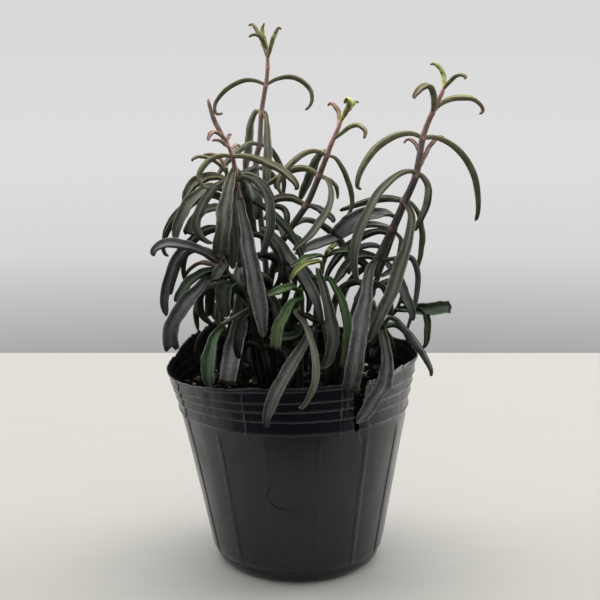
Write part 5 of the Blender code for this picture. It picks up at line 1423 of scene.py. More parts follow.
@dataclass
class Soil:
    """The soil: a lumpy body that fills the pot, with loose crumbs and grains on it."""

    form: PotForm = POT_FORM
    top: float = 67.0
    mound: float = 1.0
    relief: float = 0.9
    gap: float = 0.6
    sides: int = 150
    spacing: float = 0.85
    smooth_angle: float = 50.0
    lump_cuts: tuple[tuple[tuple[float, float, float], float], ...] = (
        ((1, 0.3, 0.2), 0.7), ((-0.6, 0.8, 0.1), 0.75), ((0.1, -0.9, 0.5), 0.72), ((0.2, 0.3, 1.0), 0.68),
        ((-0.5, -0.4, -0.8), 0.7))
    lump_angle: float = 35.0
    chance: random.Random = field(default_factory=lambda: random.Random(7))

    def reach(self) -> float:
        """Return the radius of the soil's top."""
        return float(self.form.radius(self.top)) - self.form.wall - self.gap

    def height(self, right: float, behind: float) -> float:
        """Return the height of the soil's uneven top before the pot leans.

        Args:
            right: The place to the right.
            behind: The place behind.

        Returns:
            The height there.
        """
        heap = self.mound * (1 - (right ** 2 + behind ** 2) / self.form.rim_radius ** 2)
        lumps = (math.sin(right * 0.31 + 1.0) * math.cos(behind * 0.27)
                 + math.sin(right * 0.13 - behind * 0.19))
        return self.top + heap + self.relief * lumps / 2

    def crumbled(self, right: float, behind: float) -> float:
        """Return the height of the top with its crumbs.

        Args:
            right: The place to the right.
            behind: The place behind.

        Returns:
            The height there.
        """
        coarse = noise.noise(Vector((right / 3.1, behind / 3.1, 1.0)))
        middle = noise.noise(Vector((right / 1.3, behind / 1.3, 5.0)))
        fine = noise.noise(Vector((right / 0.6, behind / 0.6, 9.0)))
        return self.height(right, behind) + 0.7 * coarse + 0.5 * abs(middle) + 0.25 * fine - 0.35

    def build(self) -> Item:
        """Model the body of the soil.

        Returns:
            The soil.
        """
        reach = self.reach()
        inner = self.form.wall + self.gap
        bottom = self.form.floor_thickness + self.gap
        rings = [(0.4, self.top)]
        rings += [(float(radius), self.top) for radius in np.arange(1.2, reach - 0.4, self.spacing)]
        rings += [(reach, self.top), (reach, self.top - 1.5)]
        rings += [(float(self.form.radius(height)) - inner, float(height)) for height in (45.0, 25.0, 6.0)]
        rings += [(self.form.foot_radius - self.form.foot_rounding - inner, bottom), (0.4, bottom)]
        item = lathe("soil_body", self.sides, rings)
        with editing(item):
            select_points(item, lambda point: point.z < (bottom + 0.1) * MM and point.xy.length < 0.6 * MM)
            bpy.ops.mesh.edge_face_add()
            bpy.ops.mesh.select_all(action="SELECT")
            bpy.ops.mesh.normals_make_consistent(inside=False)
        points = read_points(item) / MM
        for point in points:
            right, behind, up = point
            if up > self.top - 0.1:
                edge = min(1.0, (reach - math.hypot(right, behind)) / 2.0)
                rough = self.crumbled(right, behind) - self.height(right, behind)
                point[2] = self.height(right, behind) + rough * max(0.0, edge)
        write_points(item, self.form.slump(points) * MM)
        shade_smooth(item, self.smooth_angle)
        return item

    def lump_master(self) -> Item:
        """Model the one angular lump that every grain is a copy of, two across.

        Returns:
            The lump.
        """
        deselect_all()
        bpy.ops.mesh.primitive_ico_sphere_add(subdivisions=2, radius=1.0)
        item = named(bpy.context.object, "lump_master")
        with editing(item):
            for direction, depth in self.lump_cuts:
                normal = Vector(direction).normalized()
                bpy.ops.mesh.select_all(action="SELECT")
                bpy.ops.mesh.bisect(plane_co=normal * depth, plane_no=normal, use_fill=True, clear_outer=True)
        return item

    def grains(self, name: str, count: int, sizes: Pair, flatness: float, spots: Sequence[Pair] = ()) -> Item:
        """Scatter grains over the soil.

        Args:
            name: The piece's name.
            count: How many grains there are.
            sizes: The least and greatest half width.
            flatness: How high a grain is for its width.
            spots: Places (right, behind) where the first grains lie.

        Returns:
            The joined grains.
        """
        master = self.lump_master()
        base = read_points(master)
        reach = self.reach() - 1.5
        copies = []
        for index in range(count):
            if index < len(spots):
                right, behind = spots[index]
                size = sizes[1]
            else:
                azimuth = self.chance.uniform(0, math.tau)
                radius = reach * math.sqrt(self.chance.uniform(0, 1))
                right, behind = radius * math.cos(azimuth), radius * math.sin(azimuth)
                size = sizes[0] + (sizes[1] - sizes[0]) * self.chance.uniform(0, 1) ** 2.5
            stretch = np.array([size * self.chance.uniform(0.8, 1.3), size * self.chance.uniform(0.7, 1.0),
                                size * flatness])
            turned = Matrix.Rotation(self.chance.uniform(0, math.tau), 3, "Z") @ Matrix.Rotation(
                self.chance.uniform(-0.6, 0.6), 3, "X")
            spot = np.array([right, behind, self.crumbled(right, behind) + size * flatness * 0.35])
            points = (base * stretch) @ np.array(turned).T + spot
            copy = copied(master)
            write_points(copy, self.form.slump(points) * MM)
            copies.append(copy)
        bpy.data.objects.remove(master, do_unlink=True)
        item = joined(name, copies)
        shade_smooth(item, self.lump_angle)
        return item


# Leafy shoots


def placed(right: float, up: float, behind: float) -> Vector:
    """Take a point seen on the upright plane through the pot's axis back along its sight line."""
    spread = (EYE_DISTANCE + behind) / EYE_DISTANCE
    return Vector((EYE_RIGHT + (right - EYE_RIGHT) * spread, behind, EYE_HEIGHT - (EYE_HEIGHT - up) * spread))


def through(points: Sequence[Vector], steps: int) -> list[Vector]:
    """Run a smooth curve through points.

    Args:
        points: Where the curve passes.
        steps: How many steps it takes between each two of them.

    Returns:
        The points of the curve.
    """
    knots = [points[0] * 2 - points[1], *points, points[-1] * 2 - points[-2]]
    line = []
    for before, start, end, after in zip(knots, knots[1:], knots[2:], knots[3:]):
        out = start + (end - before) / 6
        back = end - (after - start) / 6
        line.extend(interpolate_bezier(start, out, back, end, steps + 1)[:-1])
    line.append(points[-1])
    return line


def along(points: Sequence[Vector]) -> Array:
    """Give how far along a line each of its points lies."""
    return np.cumsum([0.0] + [(b - a).length for a, b in zip(points, points[1:])])


def resampled(points: Sequence[Vector], shares: Array) -> Array:
    """Place points along the smooth curve through the given ones.

    Args:
        points: Where the curve passes.
        shares: The share of the curve's length at which each new point lies.

    Returns:
        The new points, one in a row.
    """
    dense = through(points, 10)
    travelled = along(dense)
    wanted = shares * travelled[-1]
    return np.stack([np.interp(wanted, travelled, [point[axis] for point in dense])
                     for axis in range(3)], axis=1)


def unit(vectors: Array) -> Array:
    """Bring each row to length one."""
    return vectors / np.linalg.norm(vectors, axis=1, keepdims=True)


@dataclass
class Sweep:
    """What bends a straight master form: a line with its frame and half sizes at each station."""

    line: Array
    side: Array
    above: Array
    half: Array
    tall: Array


class Master:
    """A straight form along X, from 0 to 1, that is copied and bent."""

    def __init__(self, name: str, sides: int, stations: int) -> None:
        """Model a plain round bar in even stations.

        Args:
            name: What the bar is called.
            sides: How many sides it has.
            stations: How many rings of points it has along its length.
        """
        deselect_all()
        bpy.ops.mesh.primitive_cylinder_add(vertices=sides, radius=1.0, depth=1.0, end_fill_type="NGON",
                                            location=(0.5, 0, 0), rotation=(0, math.pi / 2, 0))
        self.item = named(bpy.context.object, name)
        bpy.ops.object.transform_apply(location=True, rotation=True, scale=True)
        self.stations = stations
        with editing(self.item):
            select_edges(self.item, lambda first, second: abs(first.x - second.x) > 0.5)
            bpy.ops.mesh.subdivide(number_cuts=stations - 2)
        self.remember()
        self.around = np.arctan2(np.abs(self.points[:, 1]), -self.points[:, 2]) / math.pi

    def remember(self) -> None:
        """Keep the points and the station of each."""
        self.points = read_points(self.item)
        self.station = np.rint(self.points[:, 0] * (self.stations - 1)).astype(int)

    def bent(self, sweep: Sweep) -> Item:
        """Copy the form and bend it.

        Args:
            sweep: What bends it, in millimetres.

        Returns:
            The bent copy.
        """
        copy = copied(self.item)
        here = self.station
        moved = (sweep.line[here] + sweep.side[here] * (sweep.half[here] * self.points[:, 1])[:, None]
                 + sweep.above[here] * (sweep.tall[here] * self.points[:, 2])[:, None])
        write_points(copy, moved * MM)
        return copy

    def discard(self) -> None:
        """Remove the master from the scene."""
        bpy.data.objects.remove(self.item, do_unlink=True)


class BladeMaster(Master):
    """The straight leaf blade: a fleshy gutter with crisp lips."""

    SIDES = 16
    STATIONS = 56
    SECTION = ((0.0, -1.0), (0.38, -0.97), (0.72, -0.74), (0.94, -0.2), (1.0, 0.42), (0.99, 0.92),
               (0.84, 1.0), (0.46, 0.12), (0.0, -0.12))

    def __init__(self) -> None:
        """Model the gutter from the bar by moving its rows of points."""
        super().__init__("blade_master", self.SIDES, self.STATIONS)
        with editing(self.item):
            for row, (out, up) in enumerate(self.SECTION):
                angle = math.tau * row / self.SIDES
                was_out, was_up = math.sin(angle), -math.cos(angle)
                select_points(self.item, lambda point: abs(abs(point.y) - was_out) < 0.02
                              and abs(point.z - was_up) < 0.02)
                if was_out > 0.1:
                    bpy.ops.transform.resize(value=(1, out / was_out, 1), center_override=(0, 0, 0))
                bpy.ops.transform.translate(value=(0, 0, up - was_up))
        self.remember()


class Sky:
    """How much of its surroundings each place in the plant sees past the solids."""

    CLEARANCE = 2.5
    RINGS = ((1, math.radians(90.0)), (5, math.radians(58.0)), (8, math.radians(25.0)),
             (8, math.radians(-5.0)), (6, math.radians(-30.0)))
    EVENED_OVER = 7

    def __init__(self, nodes: Iterable[str]) -> None:
        """Gather the solids' skins, in millimetres, and the ways to look.

        Args:
            nodes: The names of the solids.
        """
        points, faces = [], []
        for node in nodes:
            mesh = bpy.data.objects[node].data
            faces += [[len(points) + index for index in face.vertices] for face in mesh.polygons]
            points += [point.co / MM for point in mesh.vertices]
        self.skin = BVHTree.FromPolygons(points, faces)
        self.ways = []
        for count, rise in self.RINGS:
            for turn in (math.tau * index / count + rise for index in range(count)):
                level = math.cos(rise)
                self.ways.append(Vector((math.cos(turn) * level, math.sin(turn) * level, math.sin(rise))))

    def seen(self, line: Array) -> Array:
        """Look out from each point of a line.

        Args:
            line: Points in millimetres, one in a row.

        Returns:
            The share of the ways that are free from each point, evened out along the line.
        """
        shares = []
        for point in line:
            start = Vector(point)
            free = [self.skin.ray_cast(start + way * self.CLEARANCE, way)[0] is None for way in self.ways]
            shares.append(sum(free) / len(free))
        padded = np.pad(shares, self.EVENED_OVER // 2, mode="edge")
        evened = np.convolve(padded, np.full(self.EVENED_OVER, 1 / self.EVENED_OVER), mode="valid")
        return np.clip(evened, 0.0, 1.0)


@dataclass
class Shoot:
    """One leafy shoot: its stem with the leaves that the photo shows and those that it hides."""

    node: str
    plan: ShootPlan
    layout: random.Random
    chance: random.Random
    sky: Sky
    hidden_look: Look
    tip_radius: float = 0.6
    stem_taper: float = 1.3
    ring_swell: float = 0.24
    ring_reach: float = 0.9
    depth_share: float = 0.66
    shallowest: float = 1.3
    deepest: float = 2.3
    turn_reach: float = 0.4
    outward_ease: float = 1.8
    tip_shifts: Sequence[int] = range(-18, 19, 3)
    bulges: Sequence[int] = (0, -4, 4, -8, 8)
    soil_top: float = 67.0
    lowest_pair: float = 17.0
    pair_spacing: float = 10.5
    hidden_lengths: Pair = (24.0, 38.0)
    hidden_widths: Pair = (3.2, 4.6)
    hidden_rises: Pair = (0.5, 1.0)
    hidden_spins: Sequence[int] = range(-170, 181, 10)
    hidden_spans: int = 5
    arch_turn: float = 2.9
    fit: float = 1.3
    root_share: float = 0.42
    taper_start: float = 0.65
    taper_reach: float = 0.42
    taper_power: float = 2.6
    tip_start: float = 0.955
    tip_reach: float = 0.0452
    tip_share: float = 0.06
    sway: float = 0.22
    fray_stations: int = 4
    fray_length: float = 0.5
    scar_start: float = 0.97
    tint_spread: Pair = (0.8, 1.2)
    seed_span: Pair = (0.0, 40.0)
    seed_shift: float = 3.0
    beneath_shift: float = 9.0
    scar_colour: Colour = (0.050, 0.042, 0.032)
    stem_colour: Colour = (0.074, 0.064, 0.059)
    ring_colour: Colour = (0.26, 0.155, 0.125)
    stem_tip_colour: Colour = (0.145, 0.088, 0.082)
    old_tip_colour: Colour = (0.07, 0.065, 0.04)
    flushed: bool = False
    coarse_span: Pair = (1.5, 2.5)
    open_span: Pair = (0.06, 0.42)
    # Painted shade and light: darker deep in the plant, beneath and on hidden leaves, lighter up high.
    inner_shade: float = 0.05
    under_shade: float = 0.22
    hidden_shade: float = 0.6
    high_painted_light_gain: float = 2.1
    high_start: float = 128.0
    high_reach: float = 30.0
    flushed_ring: float = 0.85
    plain_ring: float = 0.3
    smooth_angle: float = 60.0

    def __post_init__(self) -> None:
        """Read the skin of the solid that the shoot stands for, in millimetres."""
        mesh = bpy.data.objects[self.node].data
        self.skin = BVHTree.FromPolygons([point.co / MM for point in mesh.vertices],
                                         [face.vertices for face in mesh.polygons])

    def distance(self, line: Sequence[Vector]) -> float:
        """Return how far a line lies from the solid's skin, on average."""
        return sum(self.skin.find_nearest(point)[3] for point in line) / len(line)

    def midrib(self, leaf: Leaf, shift: float, bulge: float) -> list[Vector]:
        """Run the midrib of a leaf that the photo shows.

        Args:
            leaf: The leaf.
            shift: How far behind its listed place the tip lies.
            bulge: How far the middle is pushed back.

        Returns:
            The points of the midrib, root first.
        """
        heights = [up for right, up, behind in self.plan.stem]
        depths = [behind for right, up, behind in self.plan.stem]
        root_behind = float(np.interp(leaf.points[0][1], heights, depths))
        steps = [math.dist(a, b) for a, b in zip(leaf.points, leaf.points[1:])]
        shares = np.cumsum([0.0] + steps) / sum(steps)
        line = []
        for (right, up), share in zip(leaf.points, shares):
            outward = 1 - (1 - share) ** self.outward_ease
            behind = root_behind + (leaf.tip_behind + shift - root_behind) * outward
            line.append(placed(right, up, behind + bulge * math.sin(math.pi * share)))
        return line

    def fitted(self, lines: Iterator[list[Vector]]) -> list[Vector] | None:
        """Pick the line that lies in the solid; None where the solid has no such leaf."""
        best = min(lines, key=self.distance)
        return best if self.distance(best) < self.fit else None

    def shown_leaves(self) -> Iterator[tuple[Leaf, list[Vector]]]:
        """Give each leaf that the photo shows and its midrib, twins last.

        Yields:
            A leaf and the points of its midrib.
        """
        for mirrored in (False, True):
            for index, leaf in enumerate(self.plan.leaves):
                if mirrored and not leaf.twin:
                    continue
                bends = (self.midrib(leaf, *bend) for bend in product(self.tip_shifts, self.bulges))
                if mirrored:
                    bends = (across_root(line) for line in bends)
                line = self.fitted(bends)
                if line is not None:
                    yield leaf, line
                else:
                    side = "twin" if mirrored else "leaf"
                    log.info("%s: %s %d isn't in the solid", self.node, side, index)

    def stem_line(self) -> list[Vector]:
        """Give the points of the stem at its joints and half way between them."""
        return through([placed(*point) for point in self.plan.stem], 2)

    def hidden_midribs(self) -> list[list[Vector]]:
        """Give the midribs of the pairs low on the stem, as they are drawn before they are turned.

        Returns:
            The points of each midrib, root first.
        """
        points = self.stem_line()
        travelled = along(points)
        heights = [point.z for point in points]
        top = float(np.interp(min(leaf.points[0][1] for leaf in self.plan.leaves), heights, travelled))
        lines = []
        place = float(np.interp(self.soil_top + self.lowest_pair, heights, travelled))
        while place < top - 0.5 * self.pair_spacing:
            root = Vector([np.interp(place, travelled, [point[axis] for point in points])
                           for axis in range(3)])
            quarter = len(lines) % 4 // 2
            for side in (0, 1):
                azimuth = math.pi / 2 * quarter + math.pi * side + self.layout.uniform(-0.5, 0.5)
                length = self.layout.uniform(*self.hidden_lengths)
                lines.append(self.arch(root, azimuth, length, self.layout.uniform(*self.hidden_rises)))
            place += self.pair_spacing
        return lines

    def arch(self, root: Vector, azimuth: float, length: float, rise: float) -> list[Vector]:
        """Run a midrib out from its root, up and over, until its tip hangs down.

        Args:
            root: Where it leaves the stem.
            azimuth: Which way it runs.
            length: Its length.
            rise: The slope at which it starts, in radians.

        Returns:
            The points of the midrib, root first.
        """
        step = length / self.hidden_spans
        line = [root.copy()]
        for index in range(self.hidden_spans):
            slope = rise - self.arch_turn * ((index + 0.5) / self.hidden_spans) ** 0.8
            level = step * math.cos(slope)
            line.append(line[-1] + Vector((math.cos(azimuth) * level, math.sin(azimuth) * level,
                                           step * math.sin(slope))))
        return line

    def outline(self, shares: Array, width: float, cut: bool, seed: float) -> tuple[Array, Array]:
        """Give the outline of a blade.

        Args:
            shares: The share of the midrib at which each station lies.
            width: The blade's greatest width.
            cut: Whether its end is cut or broken off.
            seed: A number that varies its edges.

        Returns:
            The half width and the half depth at each station.
        """
        late = np.maximum(0.0, (shares - self.taper_start) / self.taper_reach)
        narrowed = np.zeros_like(shares) if cut else late ** self.taper_power
        taper = np.minimum(1.0, self.root_share + shares) * (1 - narrowed)
        wave = 1 + 0.05 * np.sin(shares * 17 + seed) + 0.035 * np.sin(shares * 41 + 2.3 * seed)
        rounded = np.sqrt(1 - ramp(shares, self.tip_start, self.tip_reach) ** 2)
        close = np.ones_like(shares) if cut else np.maximum(rounded, self.tip_share)
        deep = min(self.deepest, max(self.shallowest, width * self.depth_share))
        half = width / 2 * taper * wave * close
        thick = np.minimum(1.0, 0.65 + shares) * (1 - 0.5 * np.maximum(0.0, (shares - 0.5) / 0.5) ** 1.5)
        return half, deep / 2 * thick * close ** 0.8

    def blade_sweep(self, leaf: Leaf, line: Sequence[Vector], seed: float) -> Sweep:
        """Bend a blade along a midrib.

        Args:
            leaf: The leaf.
            line: Points of its midrib.
            seed: A number that varies its edges.

        Returns:
            The sweep for the blade master.
        """
        even = np.linspace(0.0, 1.0, BladeMaster.STATIONS)
        shares = 1 - (1 - even) ** 1.25
        points = resampled(line, shares)
        ahead = unit(np.gradient(points, axis=0))
        plan = points[:, :2] - points[0, :2]
        outward = plan[int(np.argmax(np.linalg.norm(plan, axis=1)))]
        level = unit(np.array([[-outward[1], outward[0], 0.0]]))
        flat = unit(level - ahead * (ahead @ level[0])[:, None])
        turn = math.copysign(math.radians(leaf.turn), outward[0])
        bend = (turn * np.minimum(1.0, shares / self.turn_reach))[:, None]
        side = flat * np.cos(bend) + np.cross(ahead, flat) * np.sin(bend)
        above = np.cross(ahead, side)
        middle = np.sin(math.pi * shares)
        sway = self.sway * middle * (np.sin(shares * 9 + 1.7 * seed) + 0.5 * np.sin(shares * 23 + seed))
        half, tall = self.outline(shares, leaf.width, leaf.cut, seed)
        return Sweep(points + side * sway[:, None], side, above, half, tall)

    def grow_blade(self, master: BladeMaster, leaf: Leaf, line: Sequence[Vector], shade: float) -> Item:
        """Copy the blade, bend it and paint its tints.

        Args:
            master: The straight blade.
            leaf: The leaf.
            line: Points of its midrib.
            shade: How much lighter or darker it is than its look; below 1 this is painted shade.

        Returns:
            The leaf's blade.
        """
        seed = self.chance.uniform(*self.seed_span)
        sweep = self.blade_sweep(leaf, line, seed)
        item = master.bent(sweep)
        travelled = np.cumsum(np.r_[0.0, np.linalg.norm(np.diff(sweep.line, axis=0), axis=1)])
        share = travelled / travelled[-1]
        root, body, tip = (np.array(colour) for colour in leaf.look.value)
        tints = np.stack([np.interp(share, (0.0, 0.3, 0.75, 1.0), (root[k], body[k], body[k], tip[k]))
                          for k in range(3)], axis=1)
        tints = tints * self.chance.uniform(*self.tint_spread) * shade
        if leaf.cut:
            self.fray(item, master, sweep, seed)
            tints[share > self.scar_start] = self.scar_colour
        self.paint(item, master, sweep, travelled, tints, seed)
        return item

    def fray(self, item: Item, master: BladeMaster, sweep: Sweep, seed: float) -> None:
        """Draw the end of a cut leaf out into a ragged edge.

        Args:
            item: The bent blade.
            master: The straight blade that it is a copy of.
            sweep: What bent it.
            seed: A number that varies the edge.
        """
        points = read_points(item)
        ahead = unit(sweep.line[-1:] - sweep.line[-2:-1])
        weight = ramp(master.station, master.stations - 1 - self.fray_stations, self.fray_stations)
        across = master.points[:, 1]
        ragged = np.sin(across * 5 + seed) + 0.6 * np.sin(across * 11 + 2 * seed) + 0.4 * np.sin(across * 23)
        points += ahead * (ragged * weight * self.fray_length * MM)[:, None]
        write_points(item, points)

    def paint(self, item: Item, master: Master, sweep: Sweep, travelled: Array, tints: Array,
              seed: float) -> None:
        """Write where each point lies on its leaf or stem, and its tint darkened with painted shade.

        Args:
            item: The bent form.
            master: The straight form that it is a copy of.
            sweep: What bent it.
            travelled: How far along its line each station lies.
            tints: The colour at each station.
            seed: A number that moves its patterns.
        """
        here = master.station
        share = travelled / travelled[-1]
        place = np.stack([share[here], master.points[:, 1], master.around], axis=1)
        beneath = np.where(master.points[:, 2] < 0, self.beneath_shift, 0.0)
        across = master.points[:, 1] * sweep.half[here] + beneath
        grain = np.stack([travelled[here], across, np.full(len(here), seed * self.seed_shift)], axis=1)
        # Painted light and shade: the tint darkens where the plant hides the sky and on undersides.
        light = self.painted_daylight(sweep.line)[here, None] * self.painted_facing_light(item)[:, None]
        colours = np.concatenate([tints[here] * light, np.minimum(light, 1.0)], axis=1)
        write_attribute(item, "leaf_place", "FLOAT_VECTOR", place)
        write_attribute(item, "leaf_grain", "FLOAT_VECTOR", grain)
        write_attribute(item, "leaf_tint", "FLOAT_COLOR", colours)
        coarse = np.interp(sweep.half[here].max(), self.coarse_span, (0.0, 1.0))
        write_attribute(item, "leaf_coarse", "FLOAT", np.full(len(here), coarse))

    def painted_daylight(self, line: Array) -> Array:
        """Give the painted light on a line: painted shade deep in the plant, lighter in the open and high up.

        Args:
            line: Points, one in a row.

        Returns:
            The painted light at each point.
        """
        open_share = np.interp(self.sky.seen(line), self.open_span, (0.0, 1.0))
        # Painted light: lighter high up in the plant.
        high = 1 + (self.high_painted_light_gain - 1) * ramp(line[:, 2], self.high_start, self.high_reach)
        return (self.inner_shade + (1 - self.inner_shade) * open_share) * high

    def painted_facing_light(self, item: Item) -> Array:
        """Give the painted light for the way each point faces: lighter to the sky, painted shade beneath.

        Args:
            item: The bent form.

        Returns:
            The painted light at each point.
        """
        normals = np.empty(len(item.data.vertices) * 3)
        item.data.vertices.foreach_get("normal", normals)
        return self.under_shade + (1 - self.under_shade) * ramp(normals[2::3], -0.5, 1.2)

    def grow_stem(self, master: Master) -> Item:
        """Copy the bar, bend it along the stem and swell it at its joints.

        Args:
            master: The straight bar.

        Returns:
            The stem.
        """
        line = self.stem_line()
        shares = np.linspace(0.0, 1.0, master.stations)
        points = resampled(line, shares)
        travelled = along(line)
        joints = travelled[4:-1:2]
        here = shares * travelled[-1]
        ahead = unit(np.gradient(points, axis=0))
        right = np.array([[1.0, 0.0, 0.0]])
        side = unit(right - ahead * ahead[:, :1])
        steps = np.interp(here, travelled, np.linspace(0.0, 1.0, len(travelled)))
        radius = self.plan.girth + (self.tip_radius - self.plan.girth) * steps ** self.stem_taper
        off = np.abs(here[:, None] - joints[None, :]).min(axis=1)
        radius = radius * (1 + self.ring_swell * bump_at(off, 0.0, self.ring_reach))
        sweep = Sweep(points, side, np.cross(ahead, side), radius, radius)
        item = master.bent(sweep)
        young = ramp(shares, 0.78, 0.15)[:, None]
        tip_colour = self.stem_tip_colour if self.flushed else self.old_tip_colour
        bark = np.array(self.stem_colour) * (1 - young) + np.array(tip_colour) * young
        ringed = bump_at(off, 0.0, 0.8 * self.ring_reach) * ramp(shares, 0.45, 0.25)
        pale = ((self.flushed_ring if self.flushed else self.plain_ring) * ringed)[:, None]
        tints = bark * (1 - pale) + np.array(self.ring_colour) * pale
        self.paint(item, master, sweep, here, tints, self.chance.uniform(*self.seed_span))
        return item

    def hidden_leaves(self) -> Iterator[tuple[Leaf, list[Vector]]]:
        """Give each leaf that grows where the photo shows only a tangle, and its midrib.

        Yields:
            A leaf and the points of its midrib.
        """
        for drawn in self.hidden_midribs():
            leaf = Leaf(self.layout.uniform(*self.hidden_widths), 0.0, 0.0, self.hidden_look, ())
            line = self.fitted(spun(drawn, math.radians(spin)) for spin in self.hidden_spins)
            if line is not None:
                yield leaf, line

    def build(self, blade: BladeMaster, bar: Master) -> Item:
        """Model the shoot and join it into one piece.

        Args:
            blade: The straight blade.
            bar: The straight bar.

        Returns:
            The shoot.
        """
        parts = [self.grow_stem(bar)]
        # The hidden leaves get painted shade.
        for leaves, shade in ((self.shown_leaves(), 1.0), (self.hidden_leaves(), self.hidden_shade)):
            parts += [self.grow_blade(blade, leaf, line, shade) for leaf, line in leaves]
        item = joined("leafy_" + self.node, parts)
        shade_smooth(item, self.smooth_angle)
        return item


def across_root(line: Sequence[Vector]) -> list[Vector]:
    """Turn a midrib to the far side of its stem."""
    root = line[0]
    return [Vector((2 * root.x - point.x, 2 * root.y - point.y, point.z)) for point in line]


def spun(line: Sequence[Vector], angle: float) -> list[Vector]:
    """Turn a midrib round the upright line through its root."""
    turn = Matrix.Rotation(angle, 3, "Z")
    return [line[0] + turn @ (point - line[0]) for point in line]


@dataclass
class Plant:
    """The whole plant: every shoot, in the order that the solids were made in."""

    plans: dict[str, ShootPlan]
    layout: random.Random = field(default_factory=lambda: random.Random(20))
    chance: random.Random = field(default_factory=lambda: random.Random(11))
    green_shoots: tuple[str, ...] = ("shoot_centre_green", "shoot_front_green", "shoot_back_right",
                                     "shoot_rim_left")
    flushed_shoots: tuple[str, ...] = ("shoot_tall", "shoot_front_left", "shoot_middle", "shoot_right")
    bar_sides: int = 14
    bar_stations: int = 160

    def build(self) -> None:
        """Model, dress and hand over every shoot."""
        blade = BladeMaster()
        bar = Master("stem_master", self.bar_sides, self.bar_stations)
        sky = Sky(["pot", "soil", *self.plans])
        dark = LeafFinish("dark_leaf").material()
        green = LeafFinish("green_leaf", edge=(0.16, 0.18, 0.11), edge_share=0.3).material()
        for node, plan in self.plans.items():
            is_green = node in self.green_shoots
            look = Look.GREEN if is_green else Look.DARK
            flushed = node in self.flushed_shoots
            item = Shoot(node, plan, self.layout, self.chance, sky, look, flushed=flushed).build(blade, bar)
            dress(item, green if is_green else dark)
            hand_over(item, node)
        blade.discard()
        bar.discard()


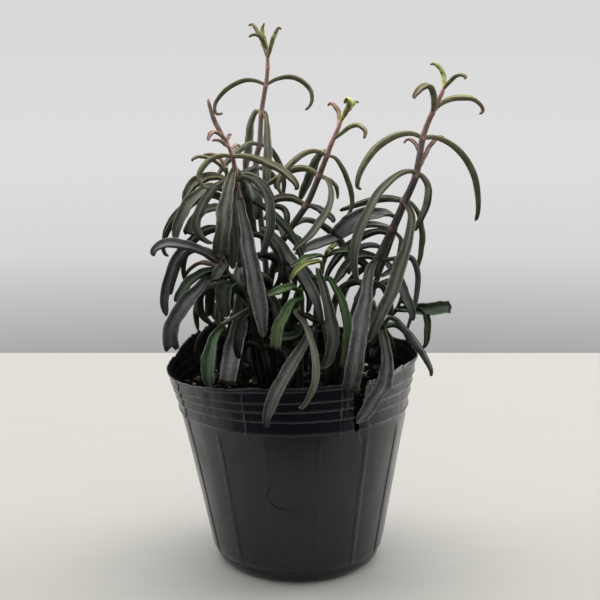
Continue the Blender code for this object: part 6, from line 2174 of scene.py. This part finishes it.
@dataclass
class Studio:
    """The plain pale floor, the soft light and the camera at the photo's place."""

    floor_back: float = 0.302
    floor_front: float = -0.105
    floor_half: float = 2.2
    # The backdrop's grey by the height of the view: the darker low greys are a painted shadow.
    backdrop_stops_with_shadow: tuple[Pair, ...] = ((-0.25, 0.38), (-0.21, 0.52), (-0.17, 0.67), (-0.1, 0.73), (0.02, 0.69))
    fill_stops: tuple[Pair, ...] = ((-0.6, 0.015), (-0.35, 0.05), (-0.15, 0.34), (0.3, 0.45), (1.0, 0.4))
    wall_glow: float = 0.3
    lens: float = 75.0
    sensor: float = 36.0

    def build(self) -> None:
        """Set up the whole studio."""
        self.lay_floor()
        self.light_world()
        self.add_light("sky_light", (0.0, 0.25, 1.25), (1.3, 1.3), 11.0)
        self.add_light("left_light", (-1.2, 0.3, 0.5), (0.9, 0.9), 6.0)
        self.add_light("right_light", (1.2, 0.4, 0.5), (0.9, 0.9), 9.0)
        self.place_camera()
        bpy.context.scene.view_settings.view_transform = "Standard"

    def lay_floor(self) -> None:
        """Add the floor, with a rounded back edge."""
        deselect_all()
        bpy.ops.mesh.primitive_plane_add(size=2.0, location=(0, 0, 0))
        floor = named(bpy.context.object, "floor")
        back, half = self.floor_back, self.floor_half
        with editing(floor):
            select_points(floor, lambda point: point.y > 0)
            bpy.ops.transform.translate(value=(0, back - 1.0, 0))
            select_points(floor, lambda point: point.y < -0.5)
            bpy.ops.transform.translate(value=(0, 1.0 + self.floor_front, 0))
            bpy.ops.mesh.select_all(action="SELECT")
            bpy.ops.transform.resize(value=(half, 1, 1), center_override=(0, 0, 0))
            select_edges(floor, lambda first, second: first.y > back - 0.01 and second.y > back - 0.01)
            bpy.ops.mesh.extrude_edges_move(TRANSFORM_OT_translate={"value": (0, 0, -0.03)})
            select_edges(floor, lambda first, second: min(first.y, second.y) > back - 0.01
                         and min(first.z, second.z) > -0.001)
            bpy.ops.mesh.bevel(offset=0.002, segments=3)
        dress(floor, FloorFinish().material())

    def light_world(self) -> None:
        """Light the scene from all round, and show a backdrop that darkens into a painted shadow at its base.
        """
        world = bpy.data.worlds.new("backdrop")
        bpy.context.scene.world = world
        world.use_nodes = True
        nodes = Nodes(world.node_tree)
        way = nodes.add("ShaderNodeTexCoord", {}, {}, "Generated")
        up = nodes.axis(way, "Z")
        over = nodes.axis(way, "Y") * self.wall_glow + up
        watched = nodes.add("ShaderNodeLightPath", {}, {}, "Is Camera Ray")
        glow = nodes.add("ShaderNodeMixShader", {}, {0: watched, 1: self.graded(nodes, over, self.fill_stops),
                                                     2: self.graded(nodes, up, self.backdrop_stops_with_shadow)})
        nodes.feed(world.node_tree.nodes["World Output"].inputs["Surface"], glow)

    def graded(self, nodes: Nodes, source: Socket, stops: Sequence[Pair]) -> Socket:
        """Add a background whose grey follows a direction.

        Args:
            nodes: The backdrop's nodes.
            source: The direction, as a number.
            stops: The grey at each of a few directions.

        Returns:
            The background.
        """
        low, high = stops[0][0], stops[-1][0]
        span = nodes.add("ShaderNodeMapRange", {}, {"Value": source, "From Min": low, "From Max": high})
        greys = [((at - low) / (high - low), (grey, grey, grey, 1.0)) for at, grey in stops]
        colour = nodes.add("ShaderNodeValToRGB", {"stops": greys}, {"Fac": span})
        return nodes.add("ShaderNodeBackground", {}, {"Color": colour})

    def add_light(self, name: str, place: tuple[float, float, float], size: Pair, power: float) -> None:
        """Add a soft light that faces the plant.

        Args:
            name: The light's name.
            place: Where it stands, in metres.
            size: Its width and height.
            power: Its power in watts.
        """
        light = bpy.data.lights.new(name, "AREA")
        light.shape = "RECTANGLE"
        light.size, light.size_y = size
        light.energy = power
        item = bpy.data.objects.new(name, light)
        item.location = place
        towards = Vector((0, 0, 0.09)) - Vector(place)
        item.rotation_euler = towards.to_track_quat("-Z", "Y").to_euler()
        bpy.context.scene.collection.objects.link(item)

    def place_camera(self) -> None:
        """Put the camera where the photo was taken from."""
        camera = bpy.data.cameras.new("camera")
        camera.lens = self.lens
        camera.sensor_width = self.sensor
        item = bpy.data.objects.new("camera", camera)
        item.location = (EYE_RIGHT * MM, -EYE_DISTANCE * MM, EYE_HEIGHT * MM)
        item.rotation_euler = (math.pi / 2 - EYE_DOWNWARD, 0.0, 0.0)
        bpy.context.scene.collection.objects.link(item)
        bpy.context.scene.camera = item


def build_pot_and_soil() -> None:
    """Model, dress and hand over the pot, the soil and what lies on it."""
    pot = Pot().build()
    dress(pot, PotPlastic().material())
    hand_over(pot, "pot")
    soil = Soil()
    body = soil.build()
    dress(body, SoilFinish().material())
    hand_over(body, "soil")
    kinds = (
        (GrainFinish("bark_crumbs", (0.012, 0.008, 0.006), 0.8), 420, (0.35, 1.7), 0.55, ()),
        (GrainFinish("clay_grains", (0.22, 0.095, 0.035), 0.35), 26, (0.35, 0.8), 0.9,
         ((-22.8, -6), (-19, -4.5), (-14, -4), (-21, -3))),
        (GrainFinish("pale_grains", (0.55, 0.50, 0.38), 0.25), 18, (0.35, 0.95), 0.85,
         ((28, 20), (26.3, 5.4), (-15.6, -1.5))),
    )
    for finish, count, sizes, flatness, spots in kinds:
        grains = soil.grains(finish.name, count, sizes, flatness, spots)
        dress(grains, finish.material())
        hand_over(grains)


def main() -> None:
    """Build the looks round the frame."""
    logging.basicConfig(level=logging.INFO, format="%(message)s")
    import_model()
    build_pot_and_soil()
    Plant(SHOOTS).build()
    Studio().build()


if __name__ == "__main__":
    main()
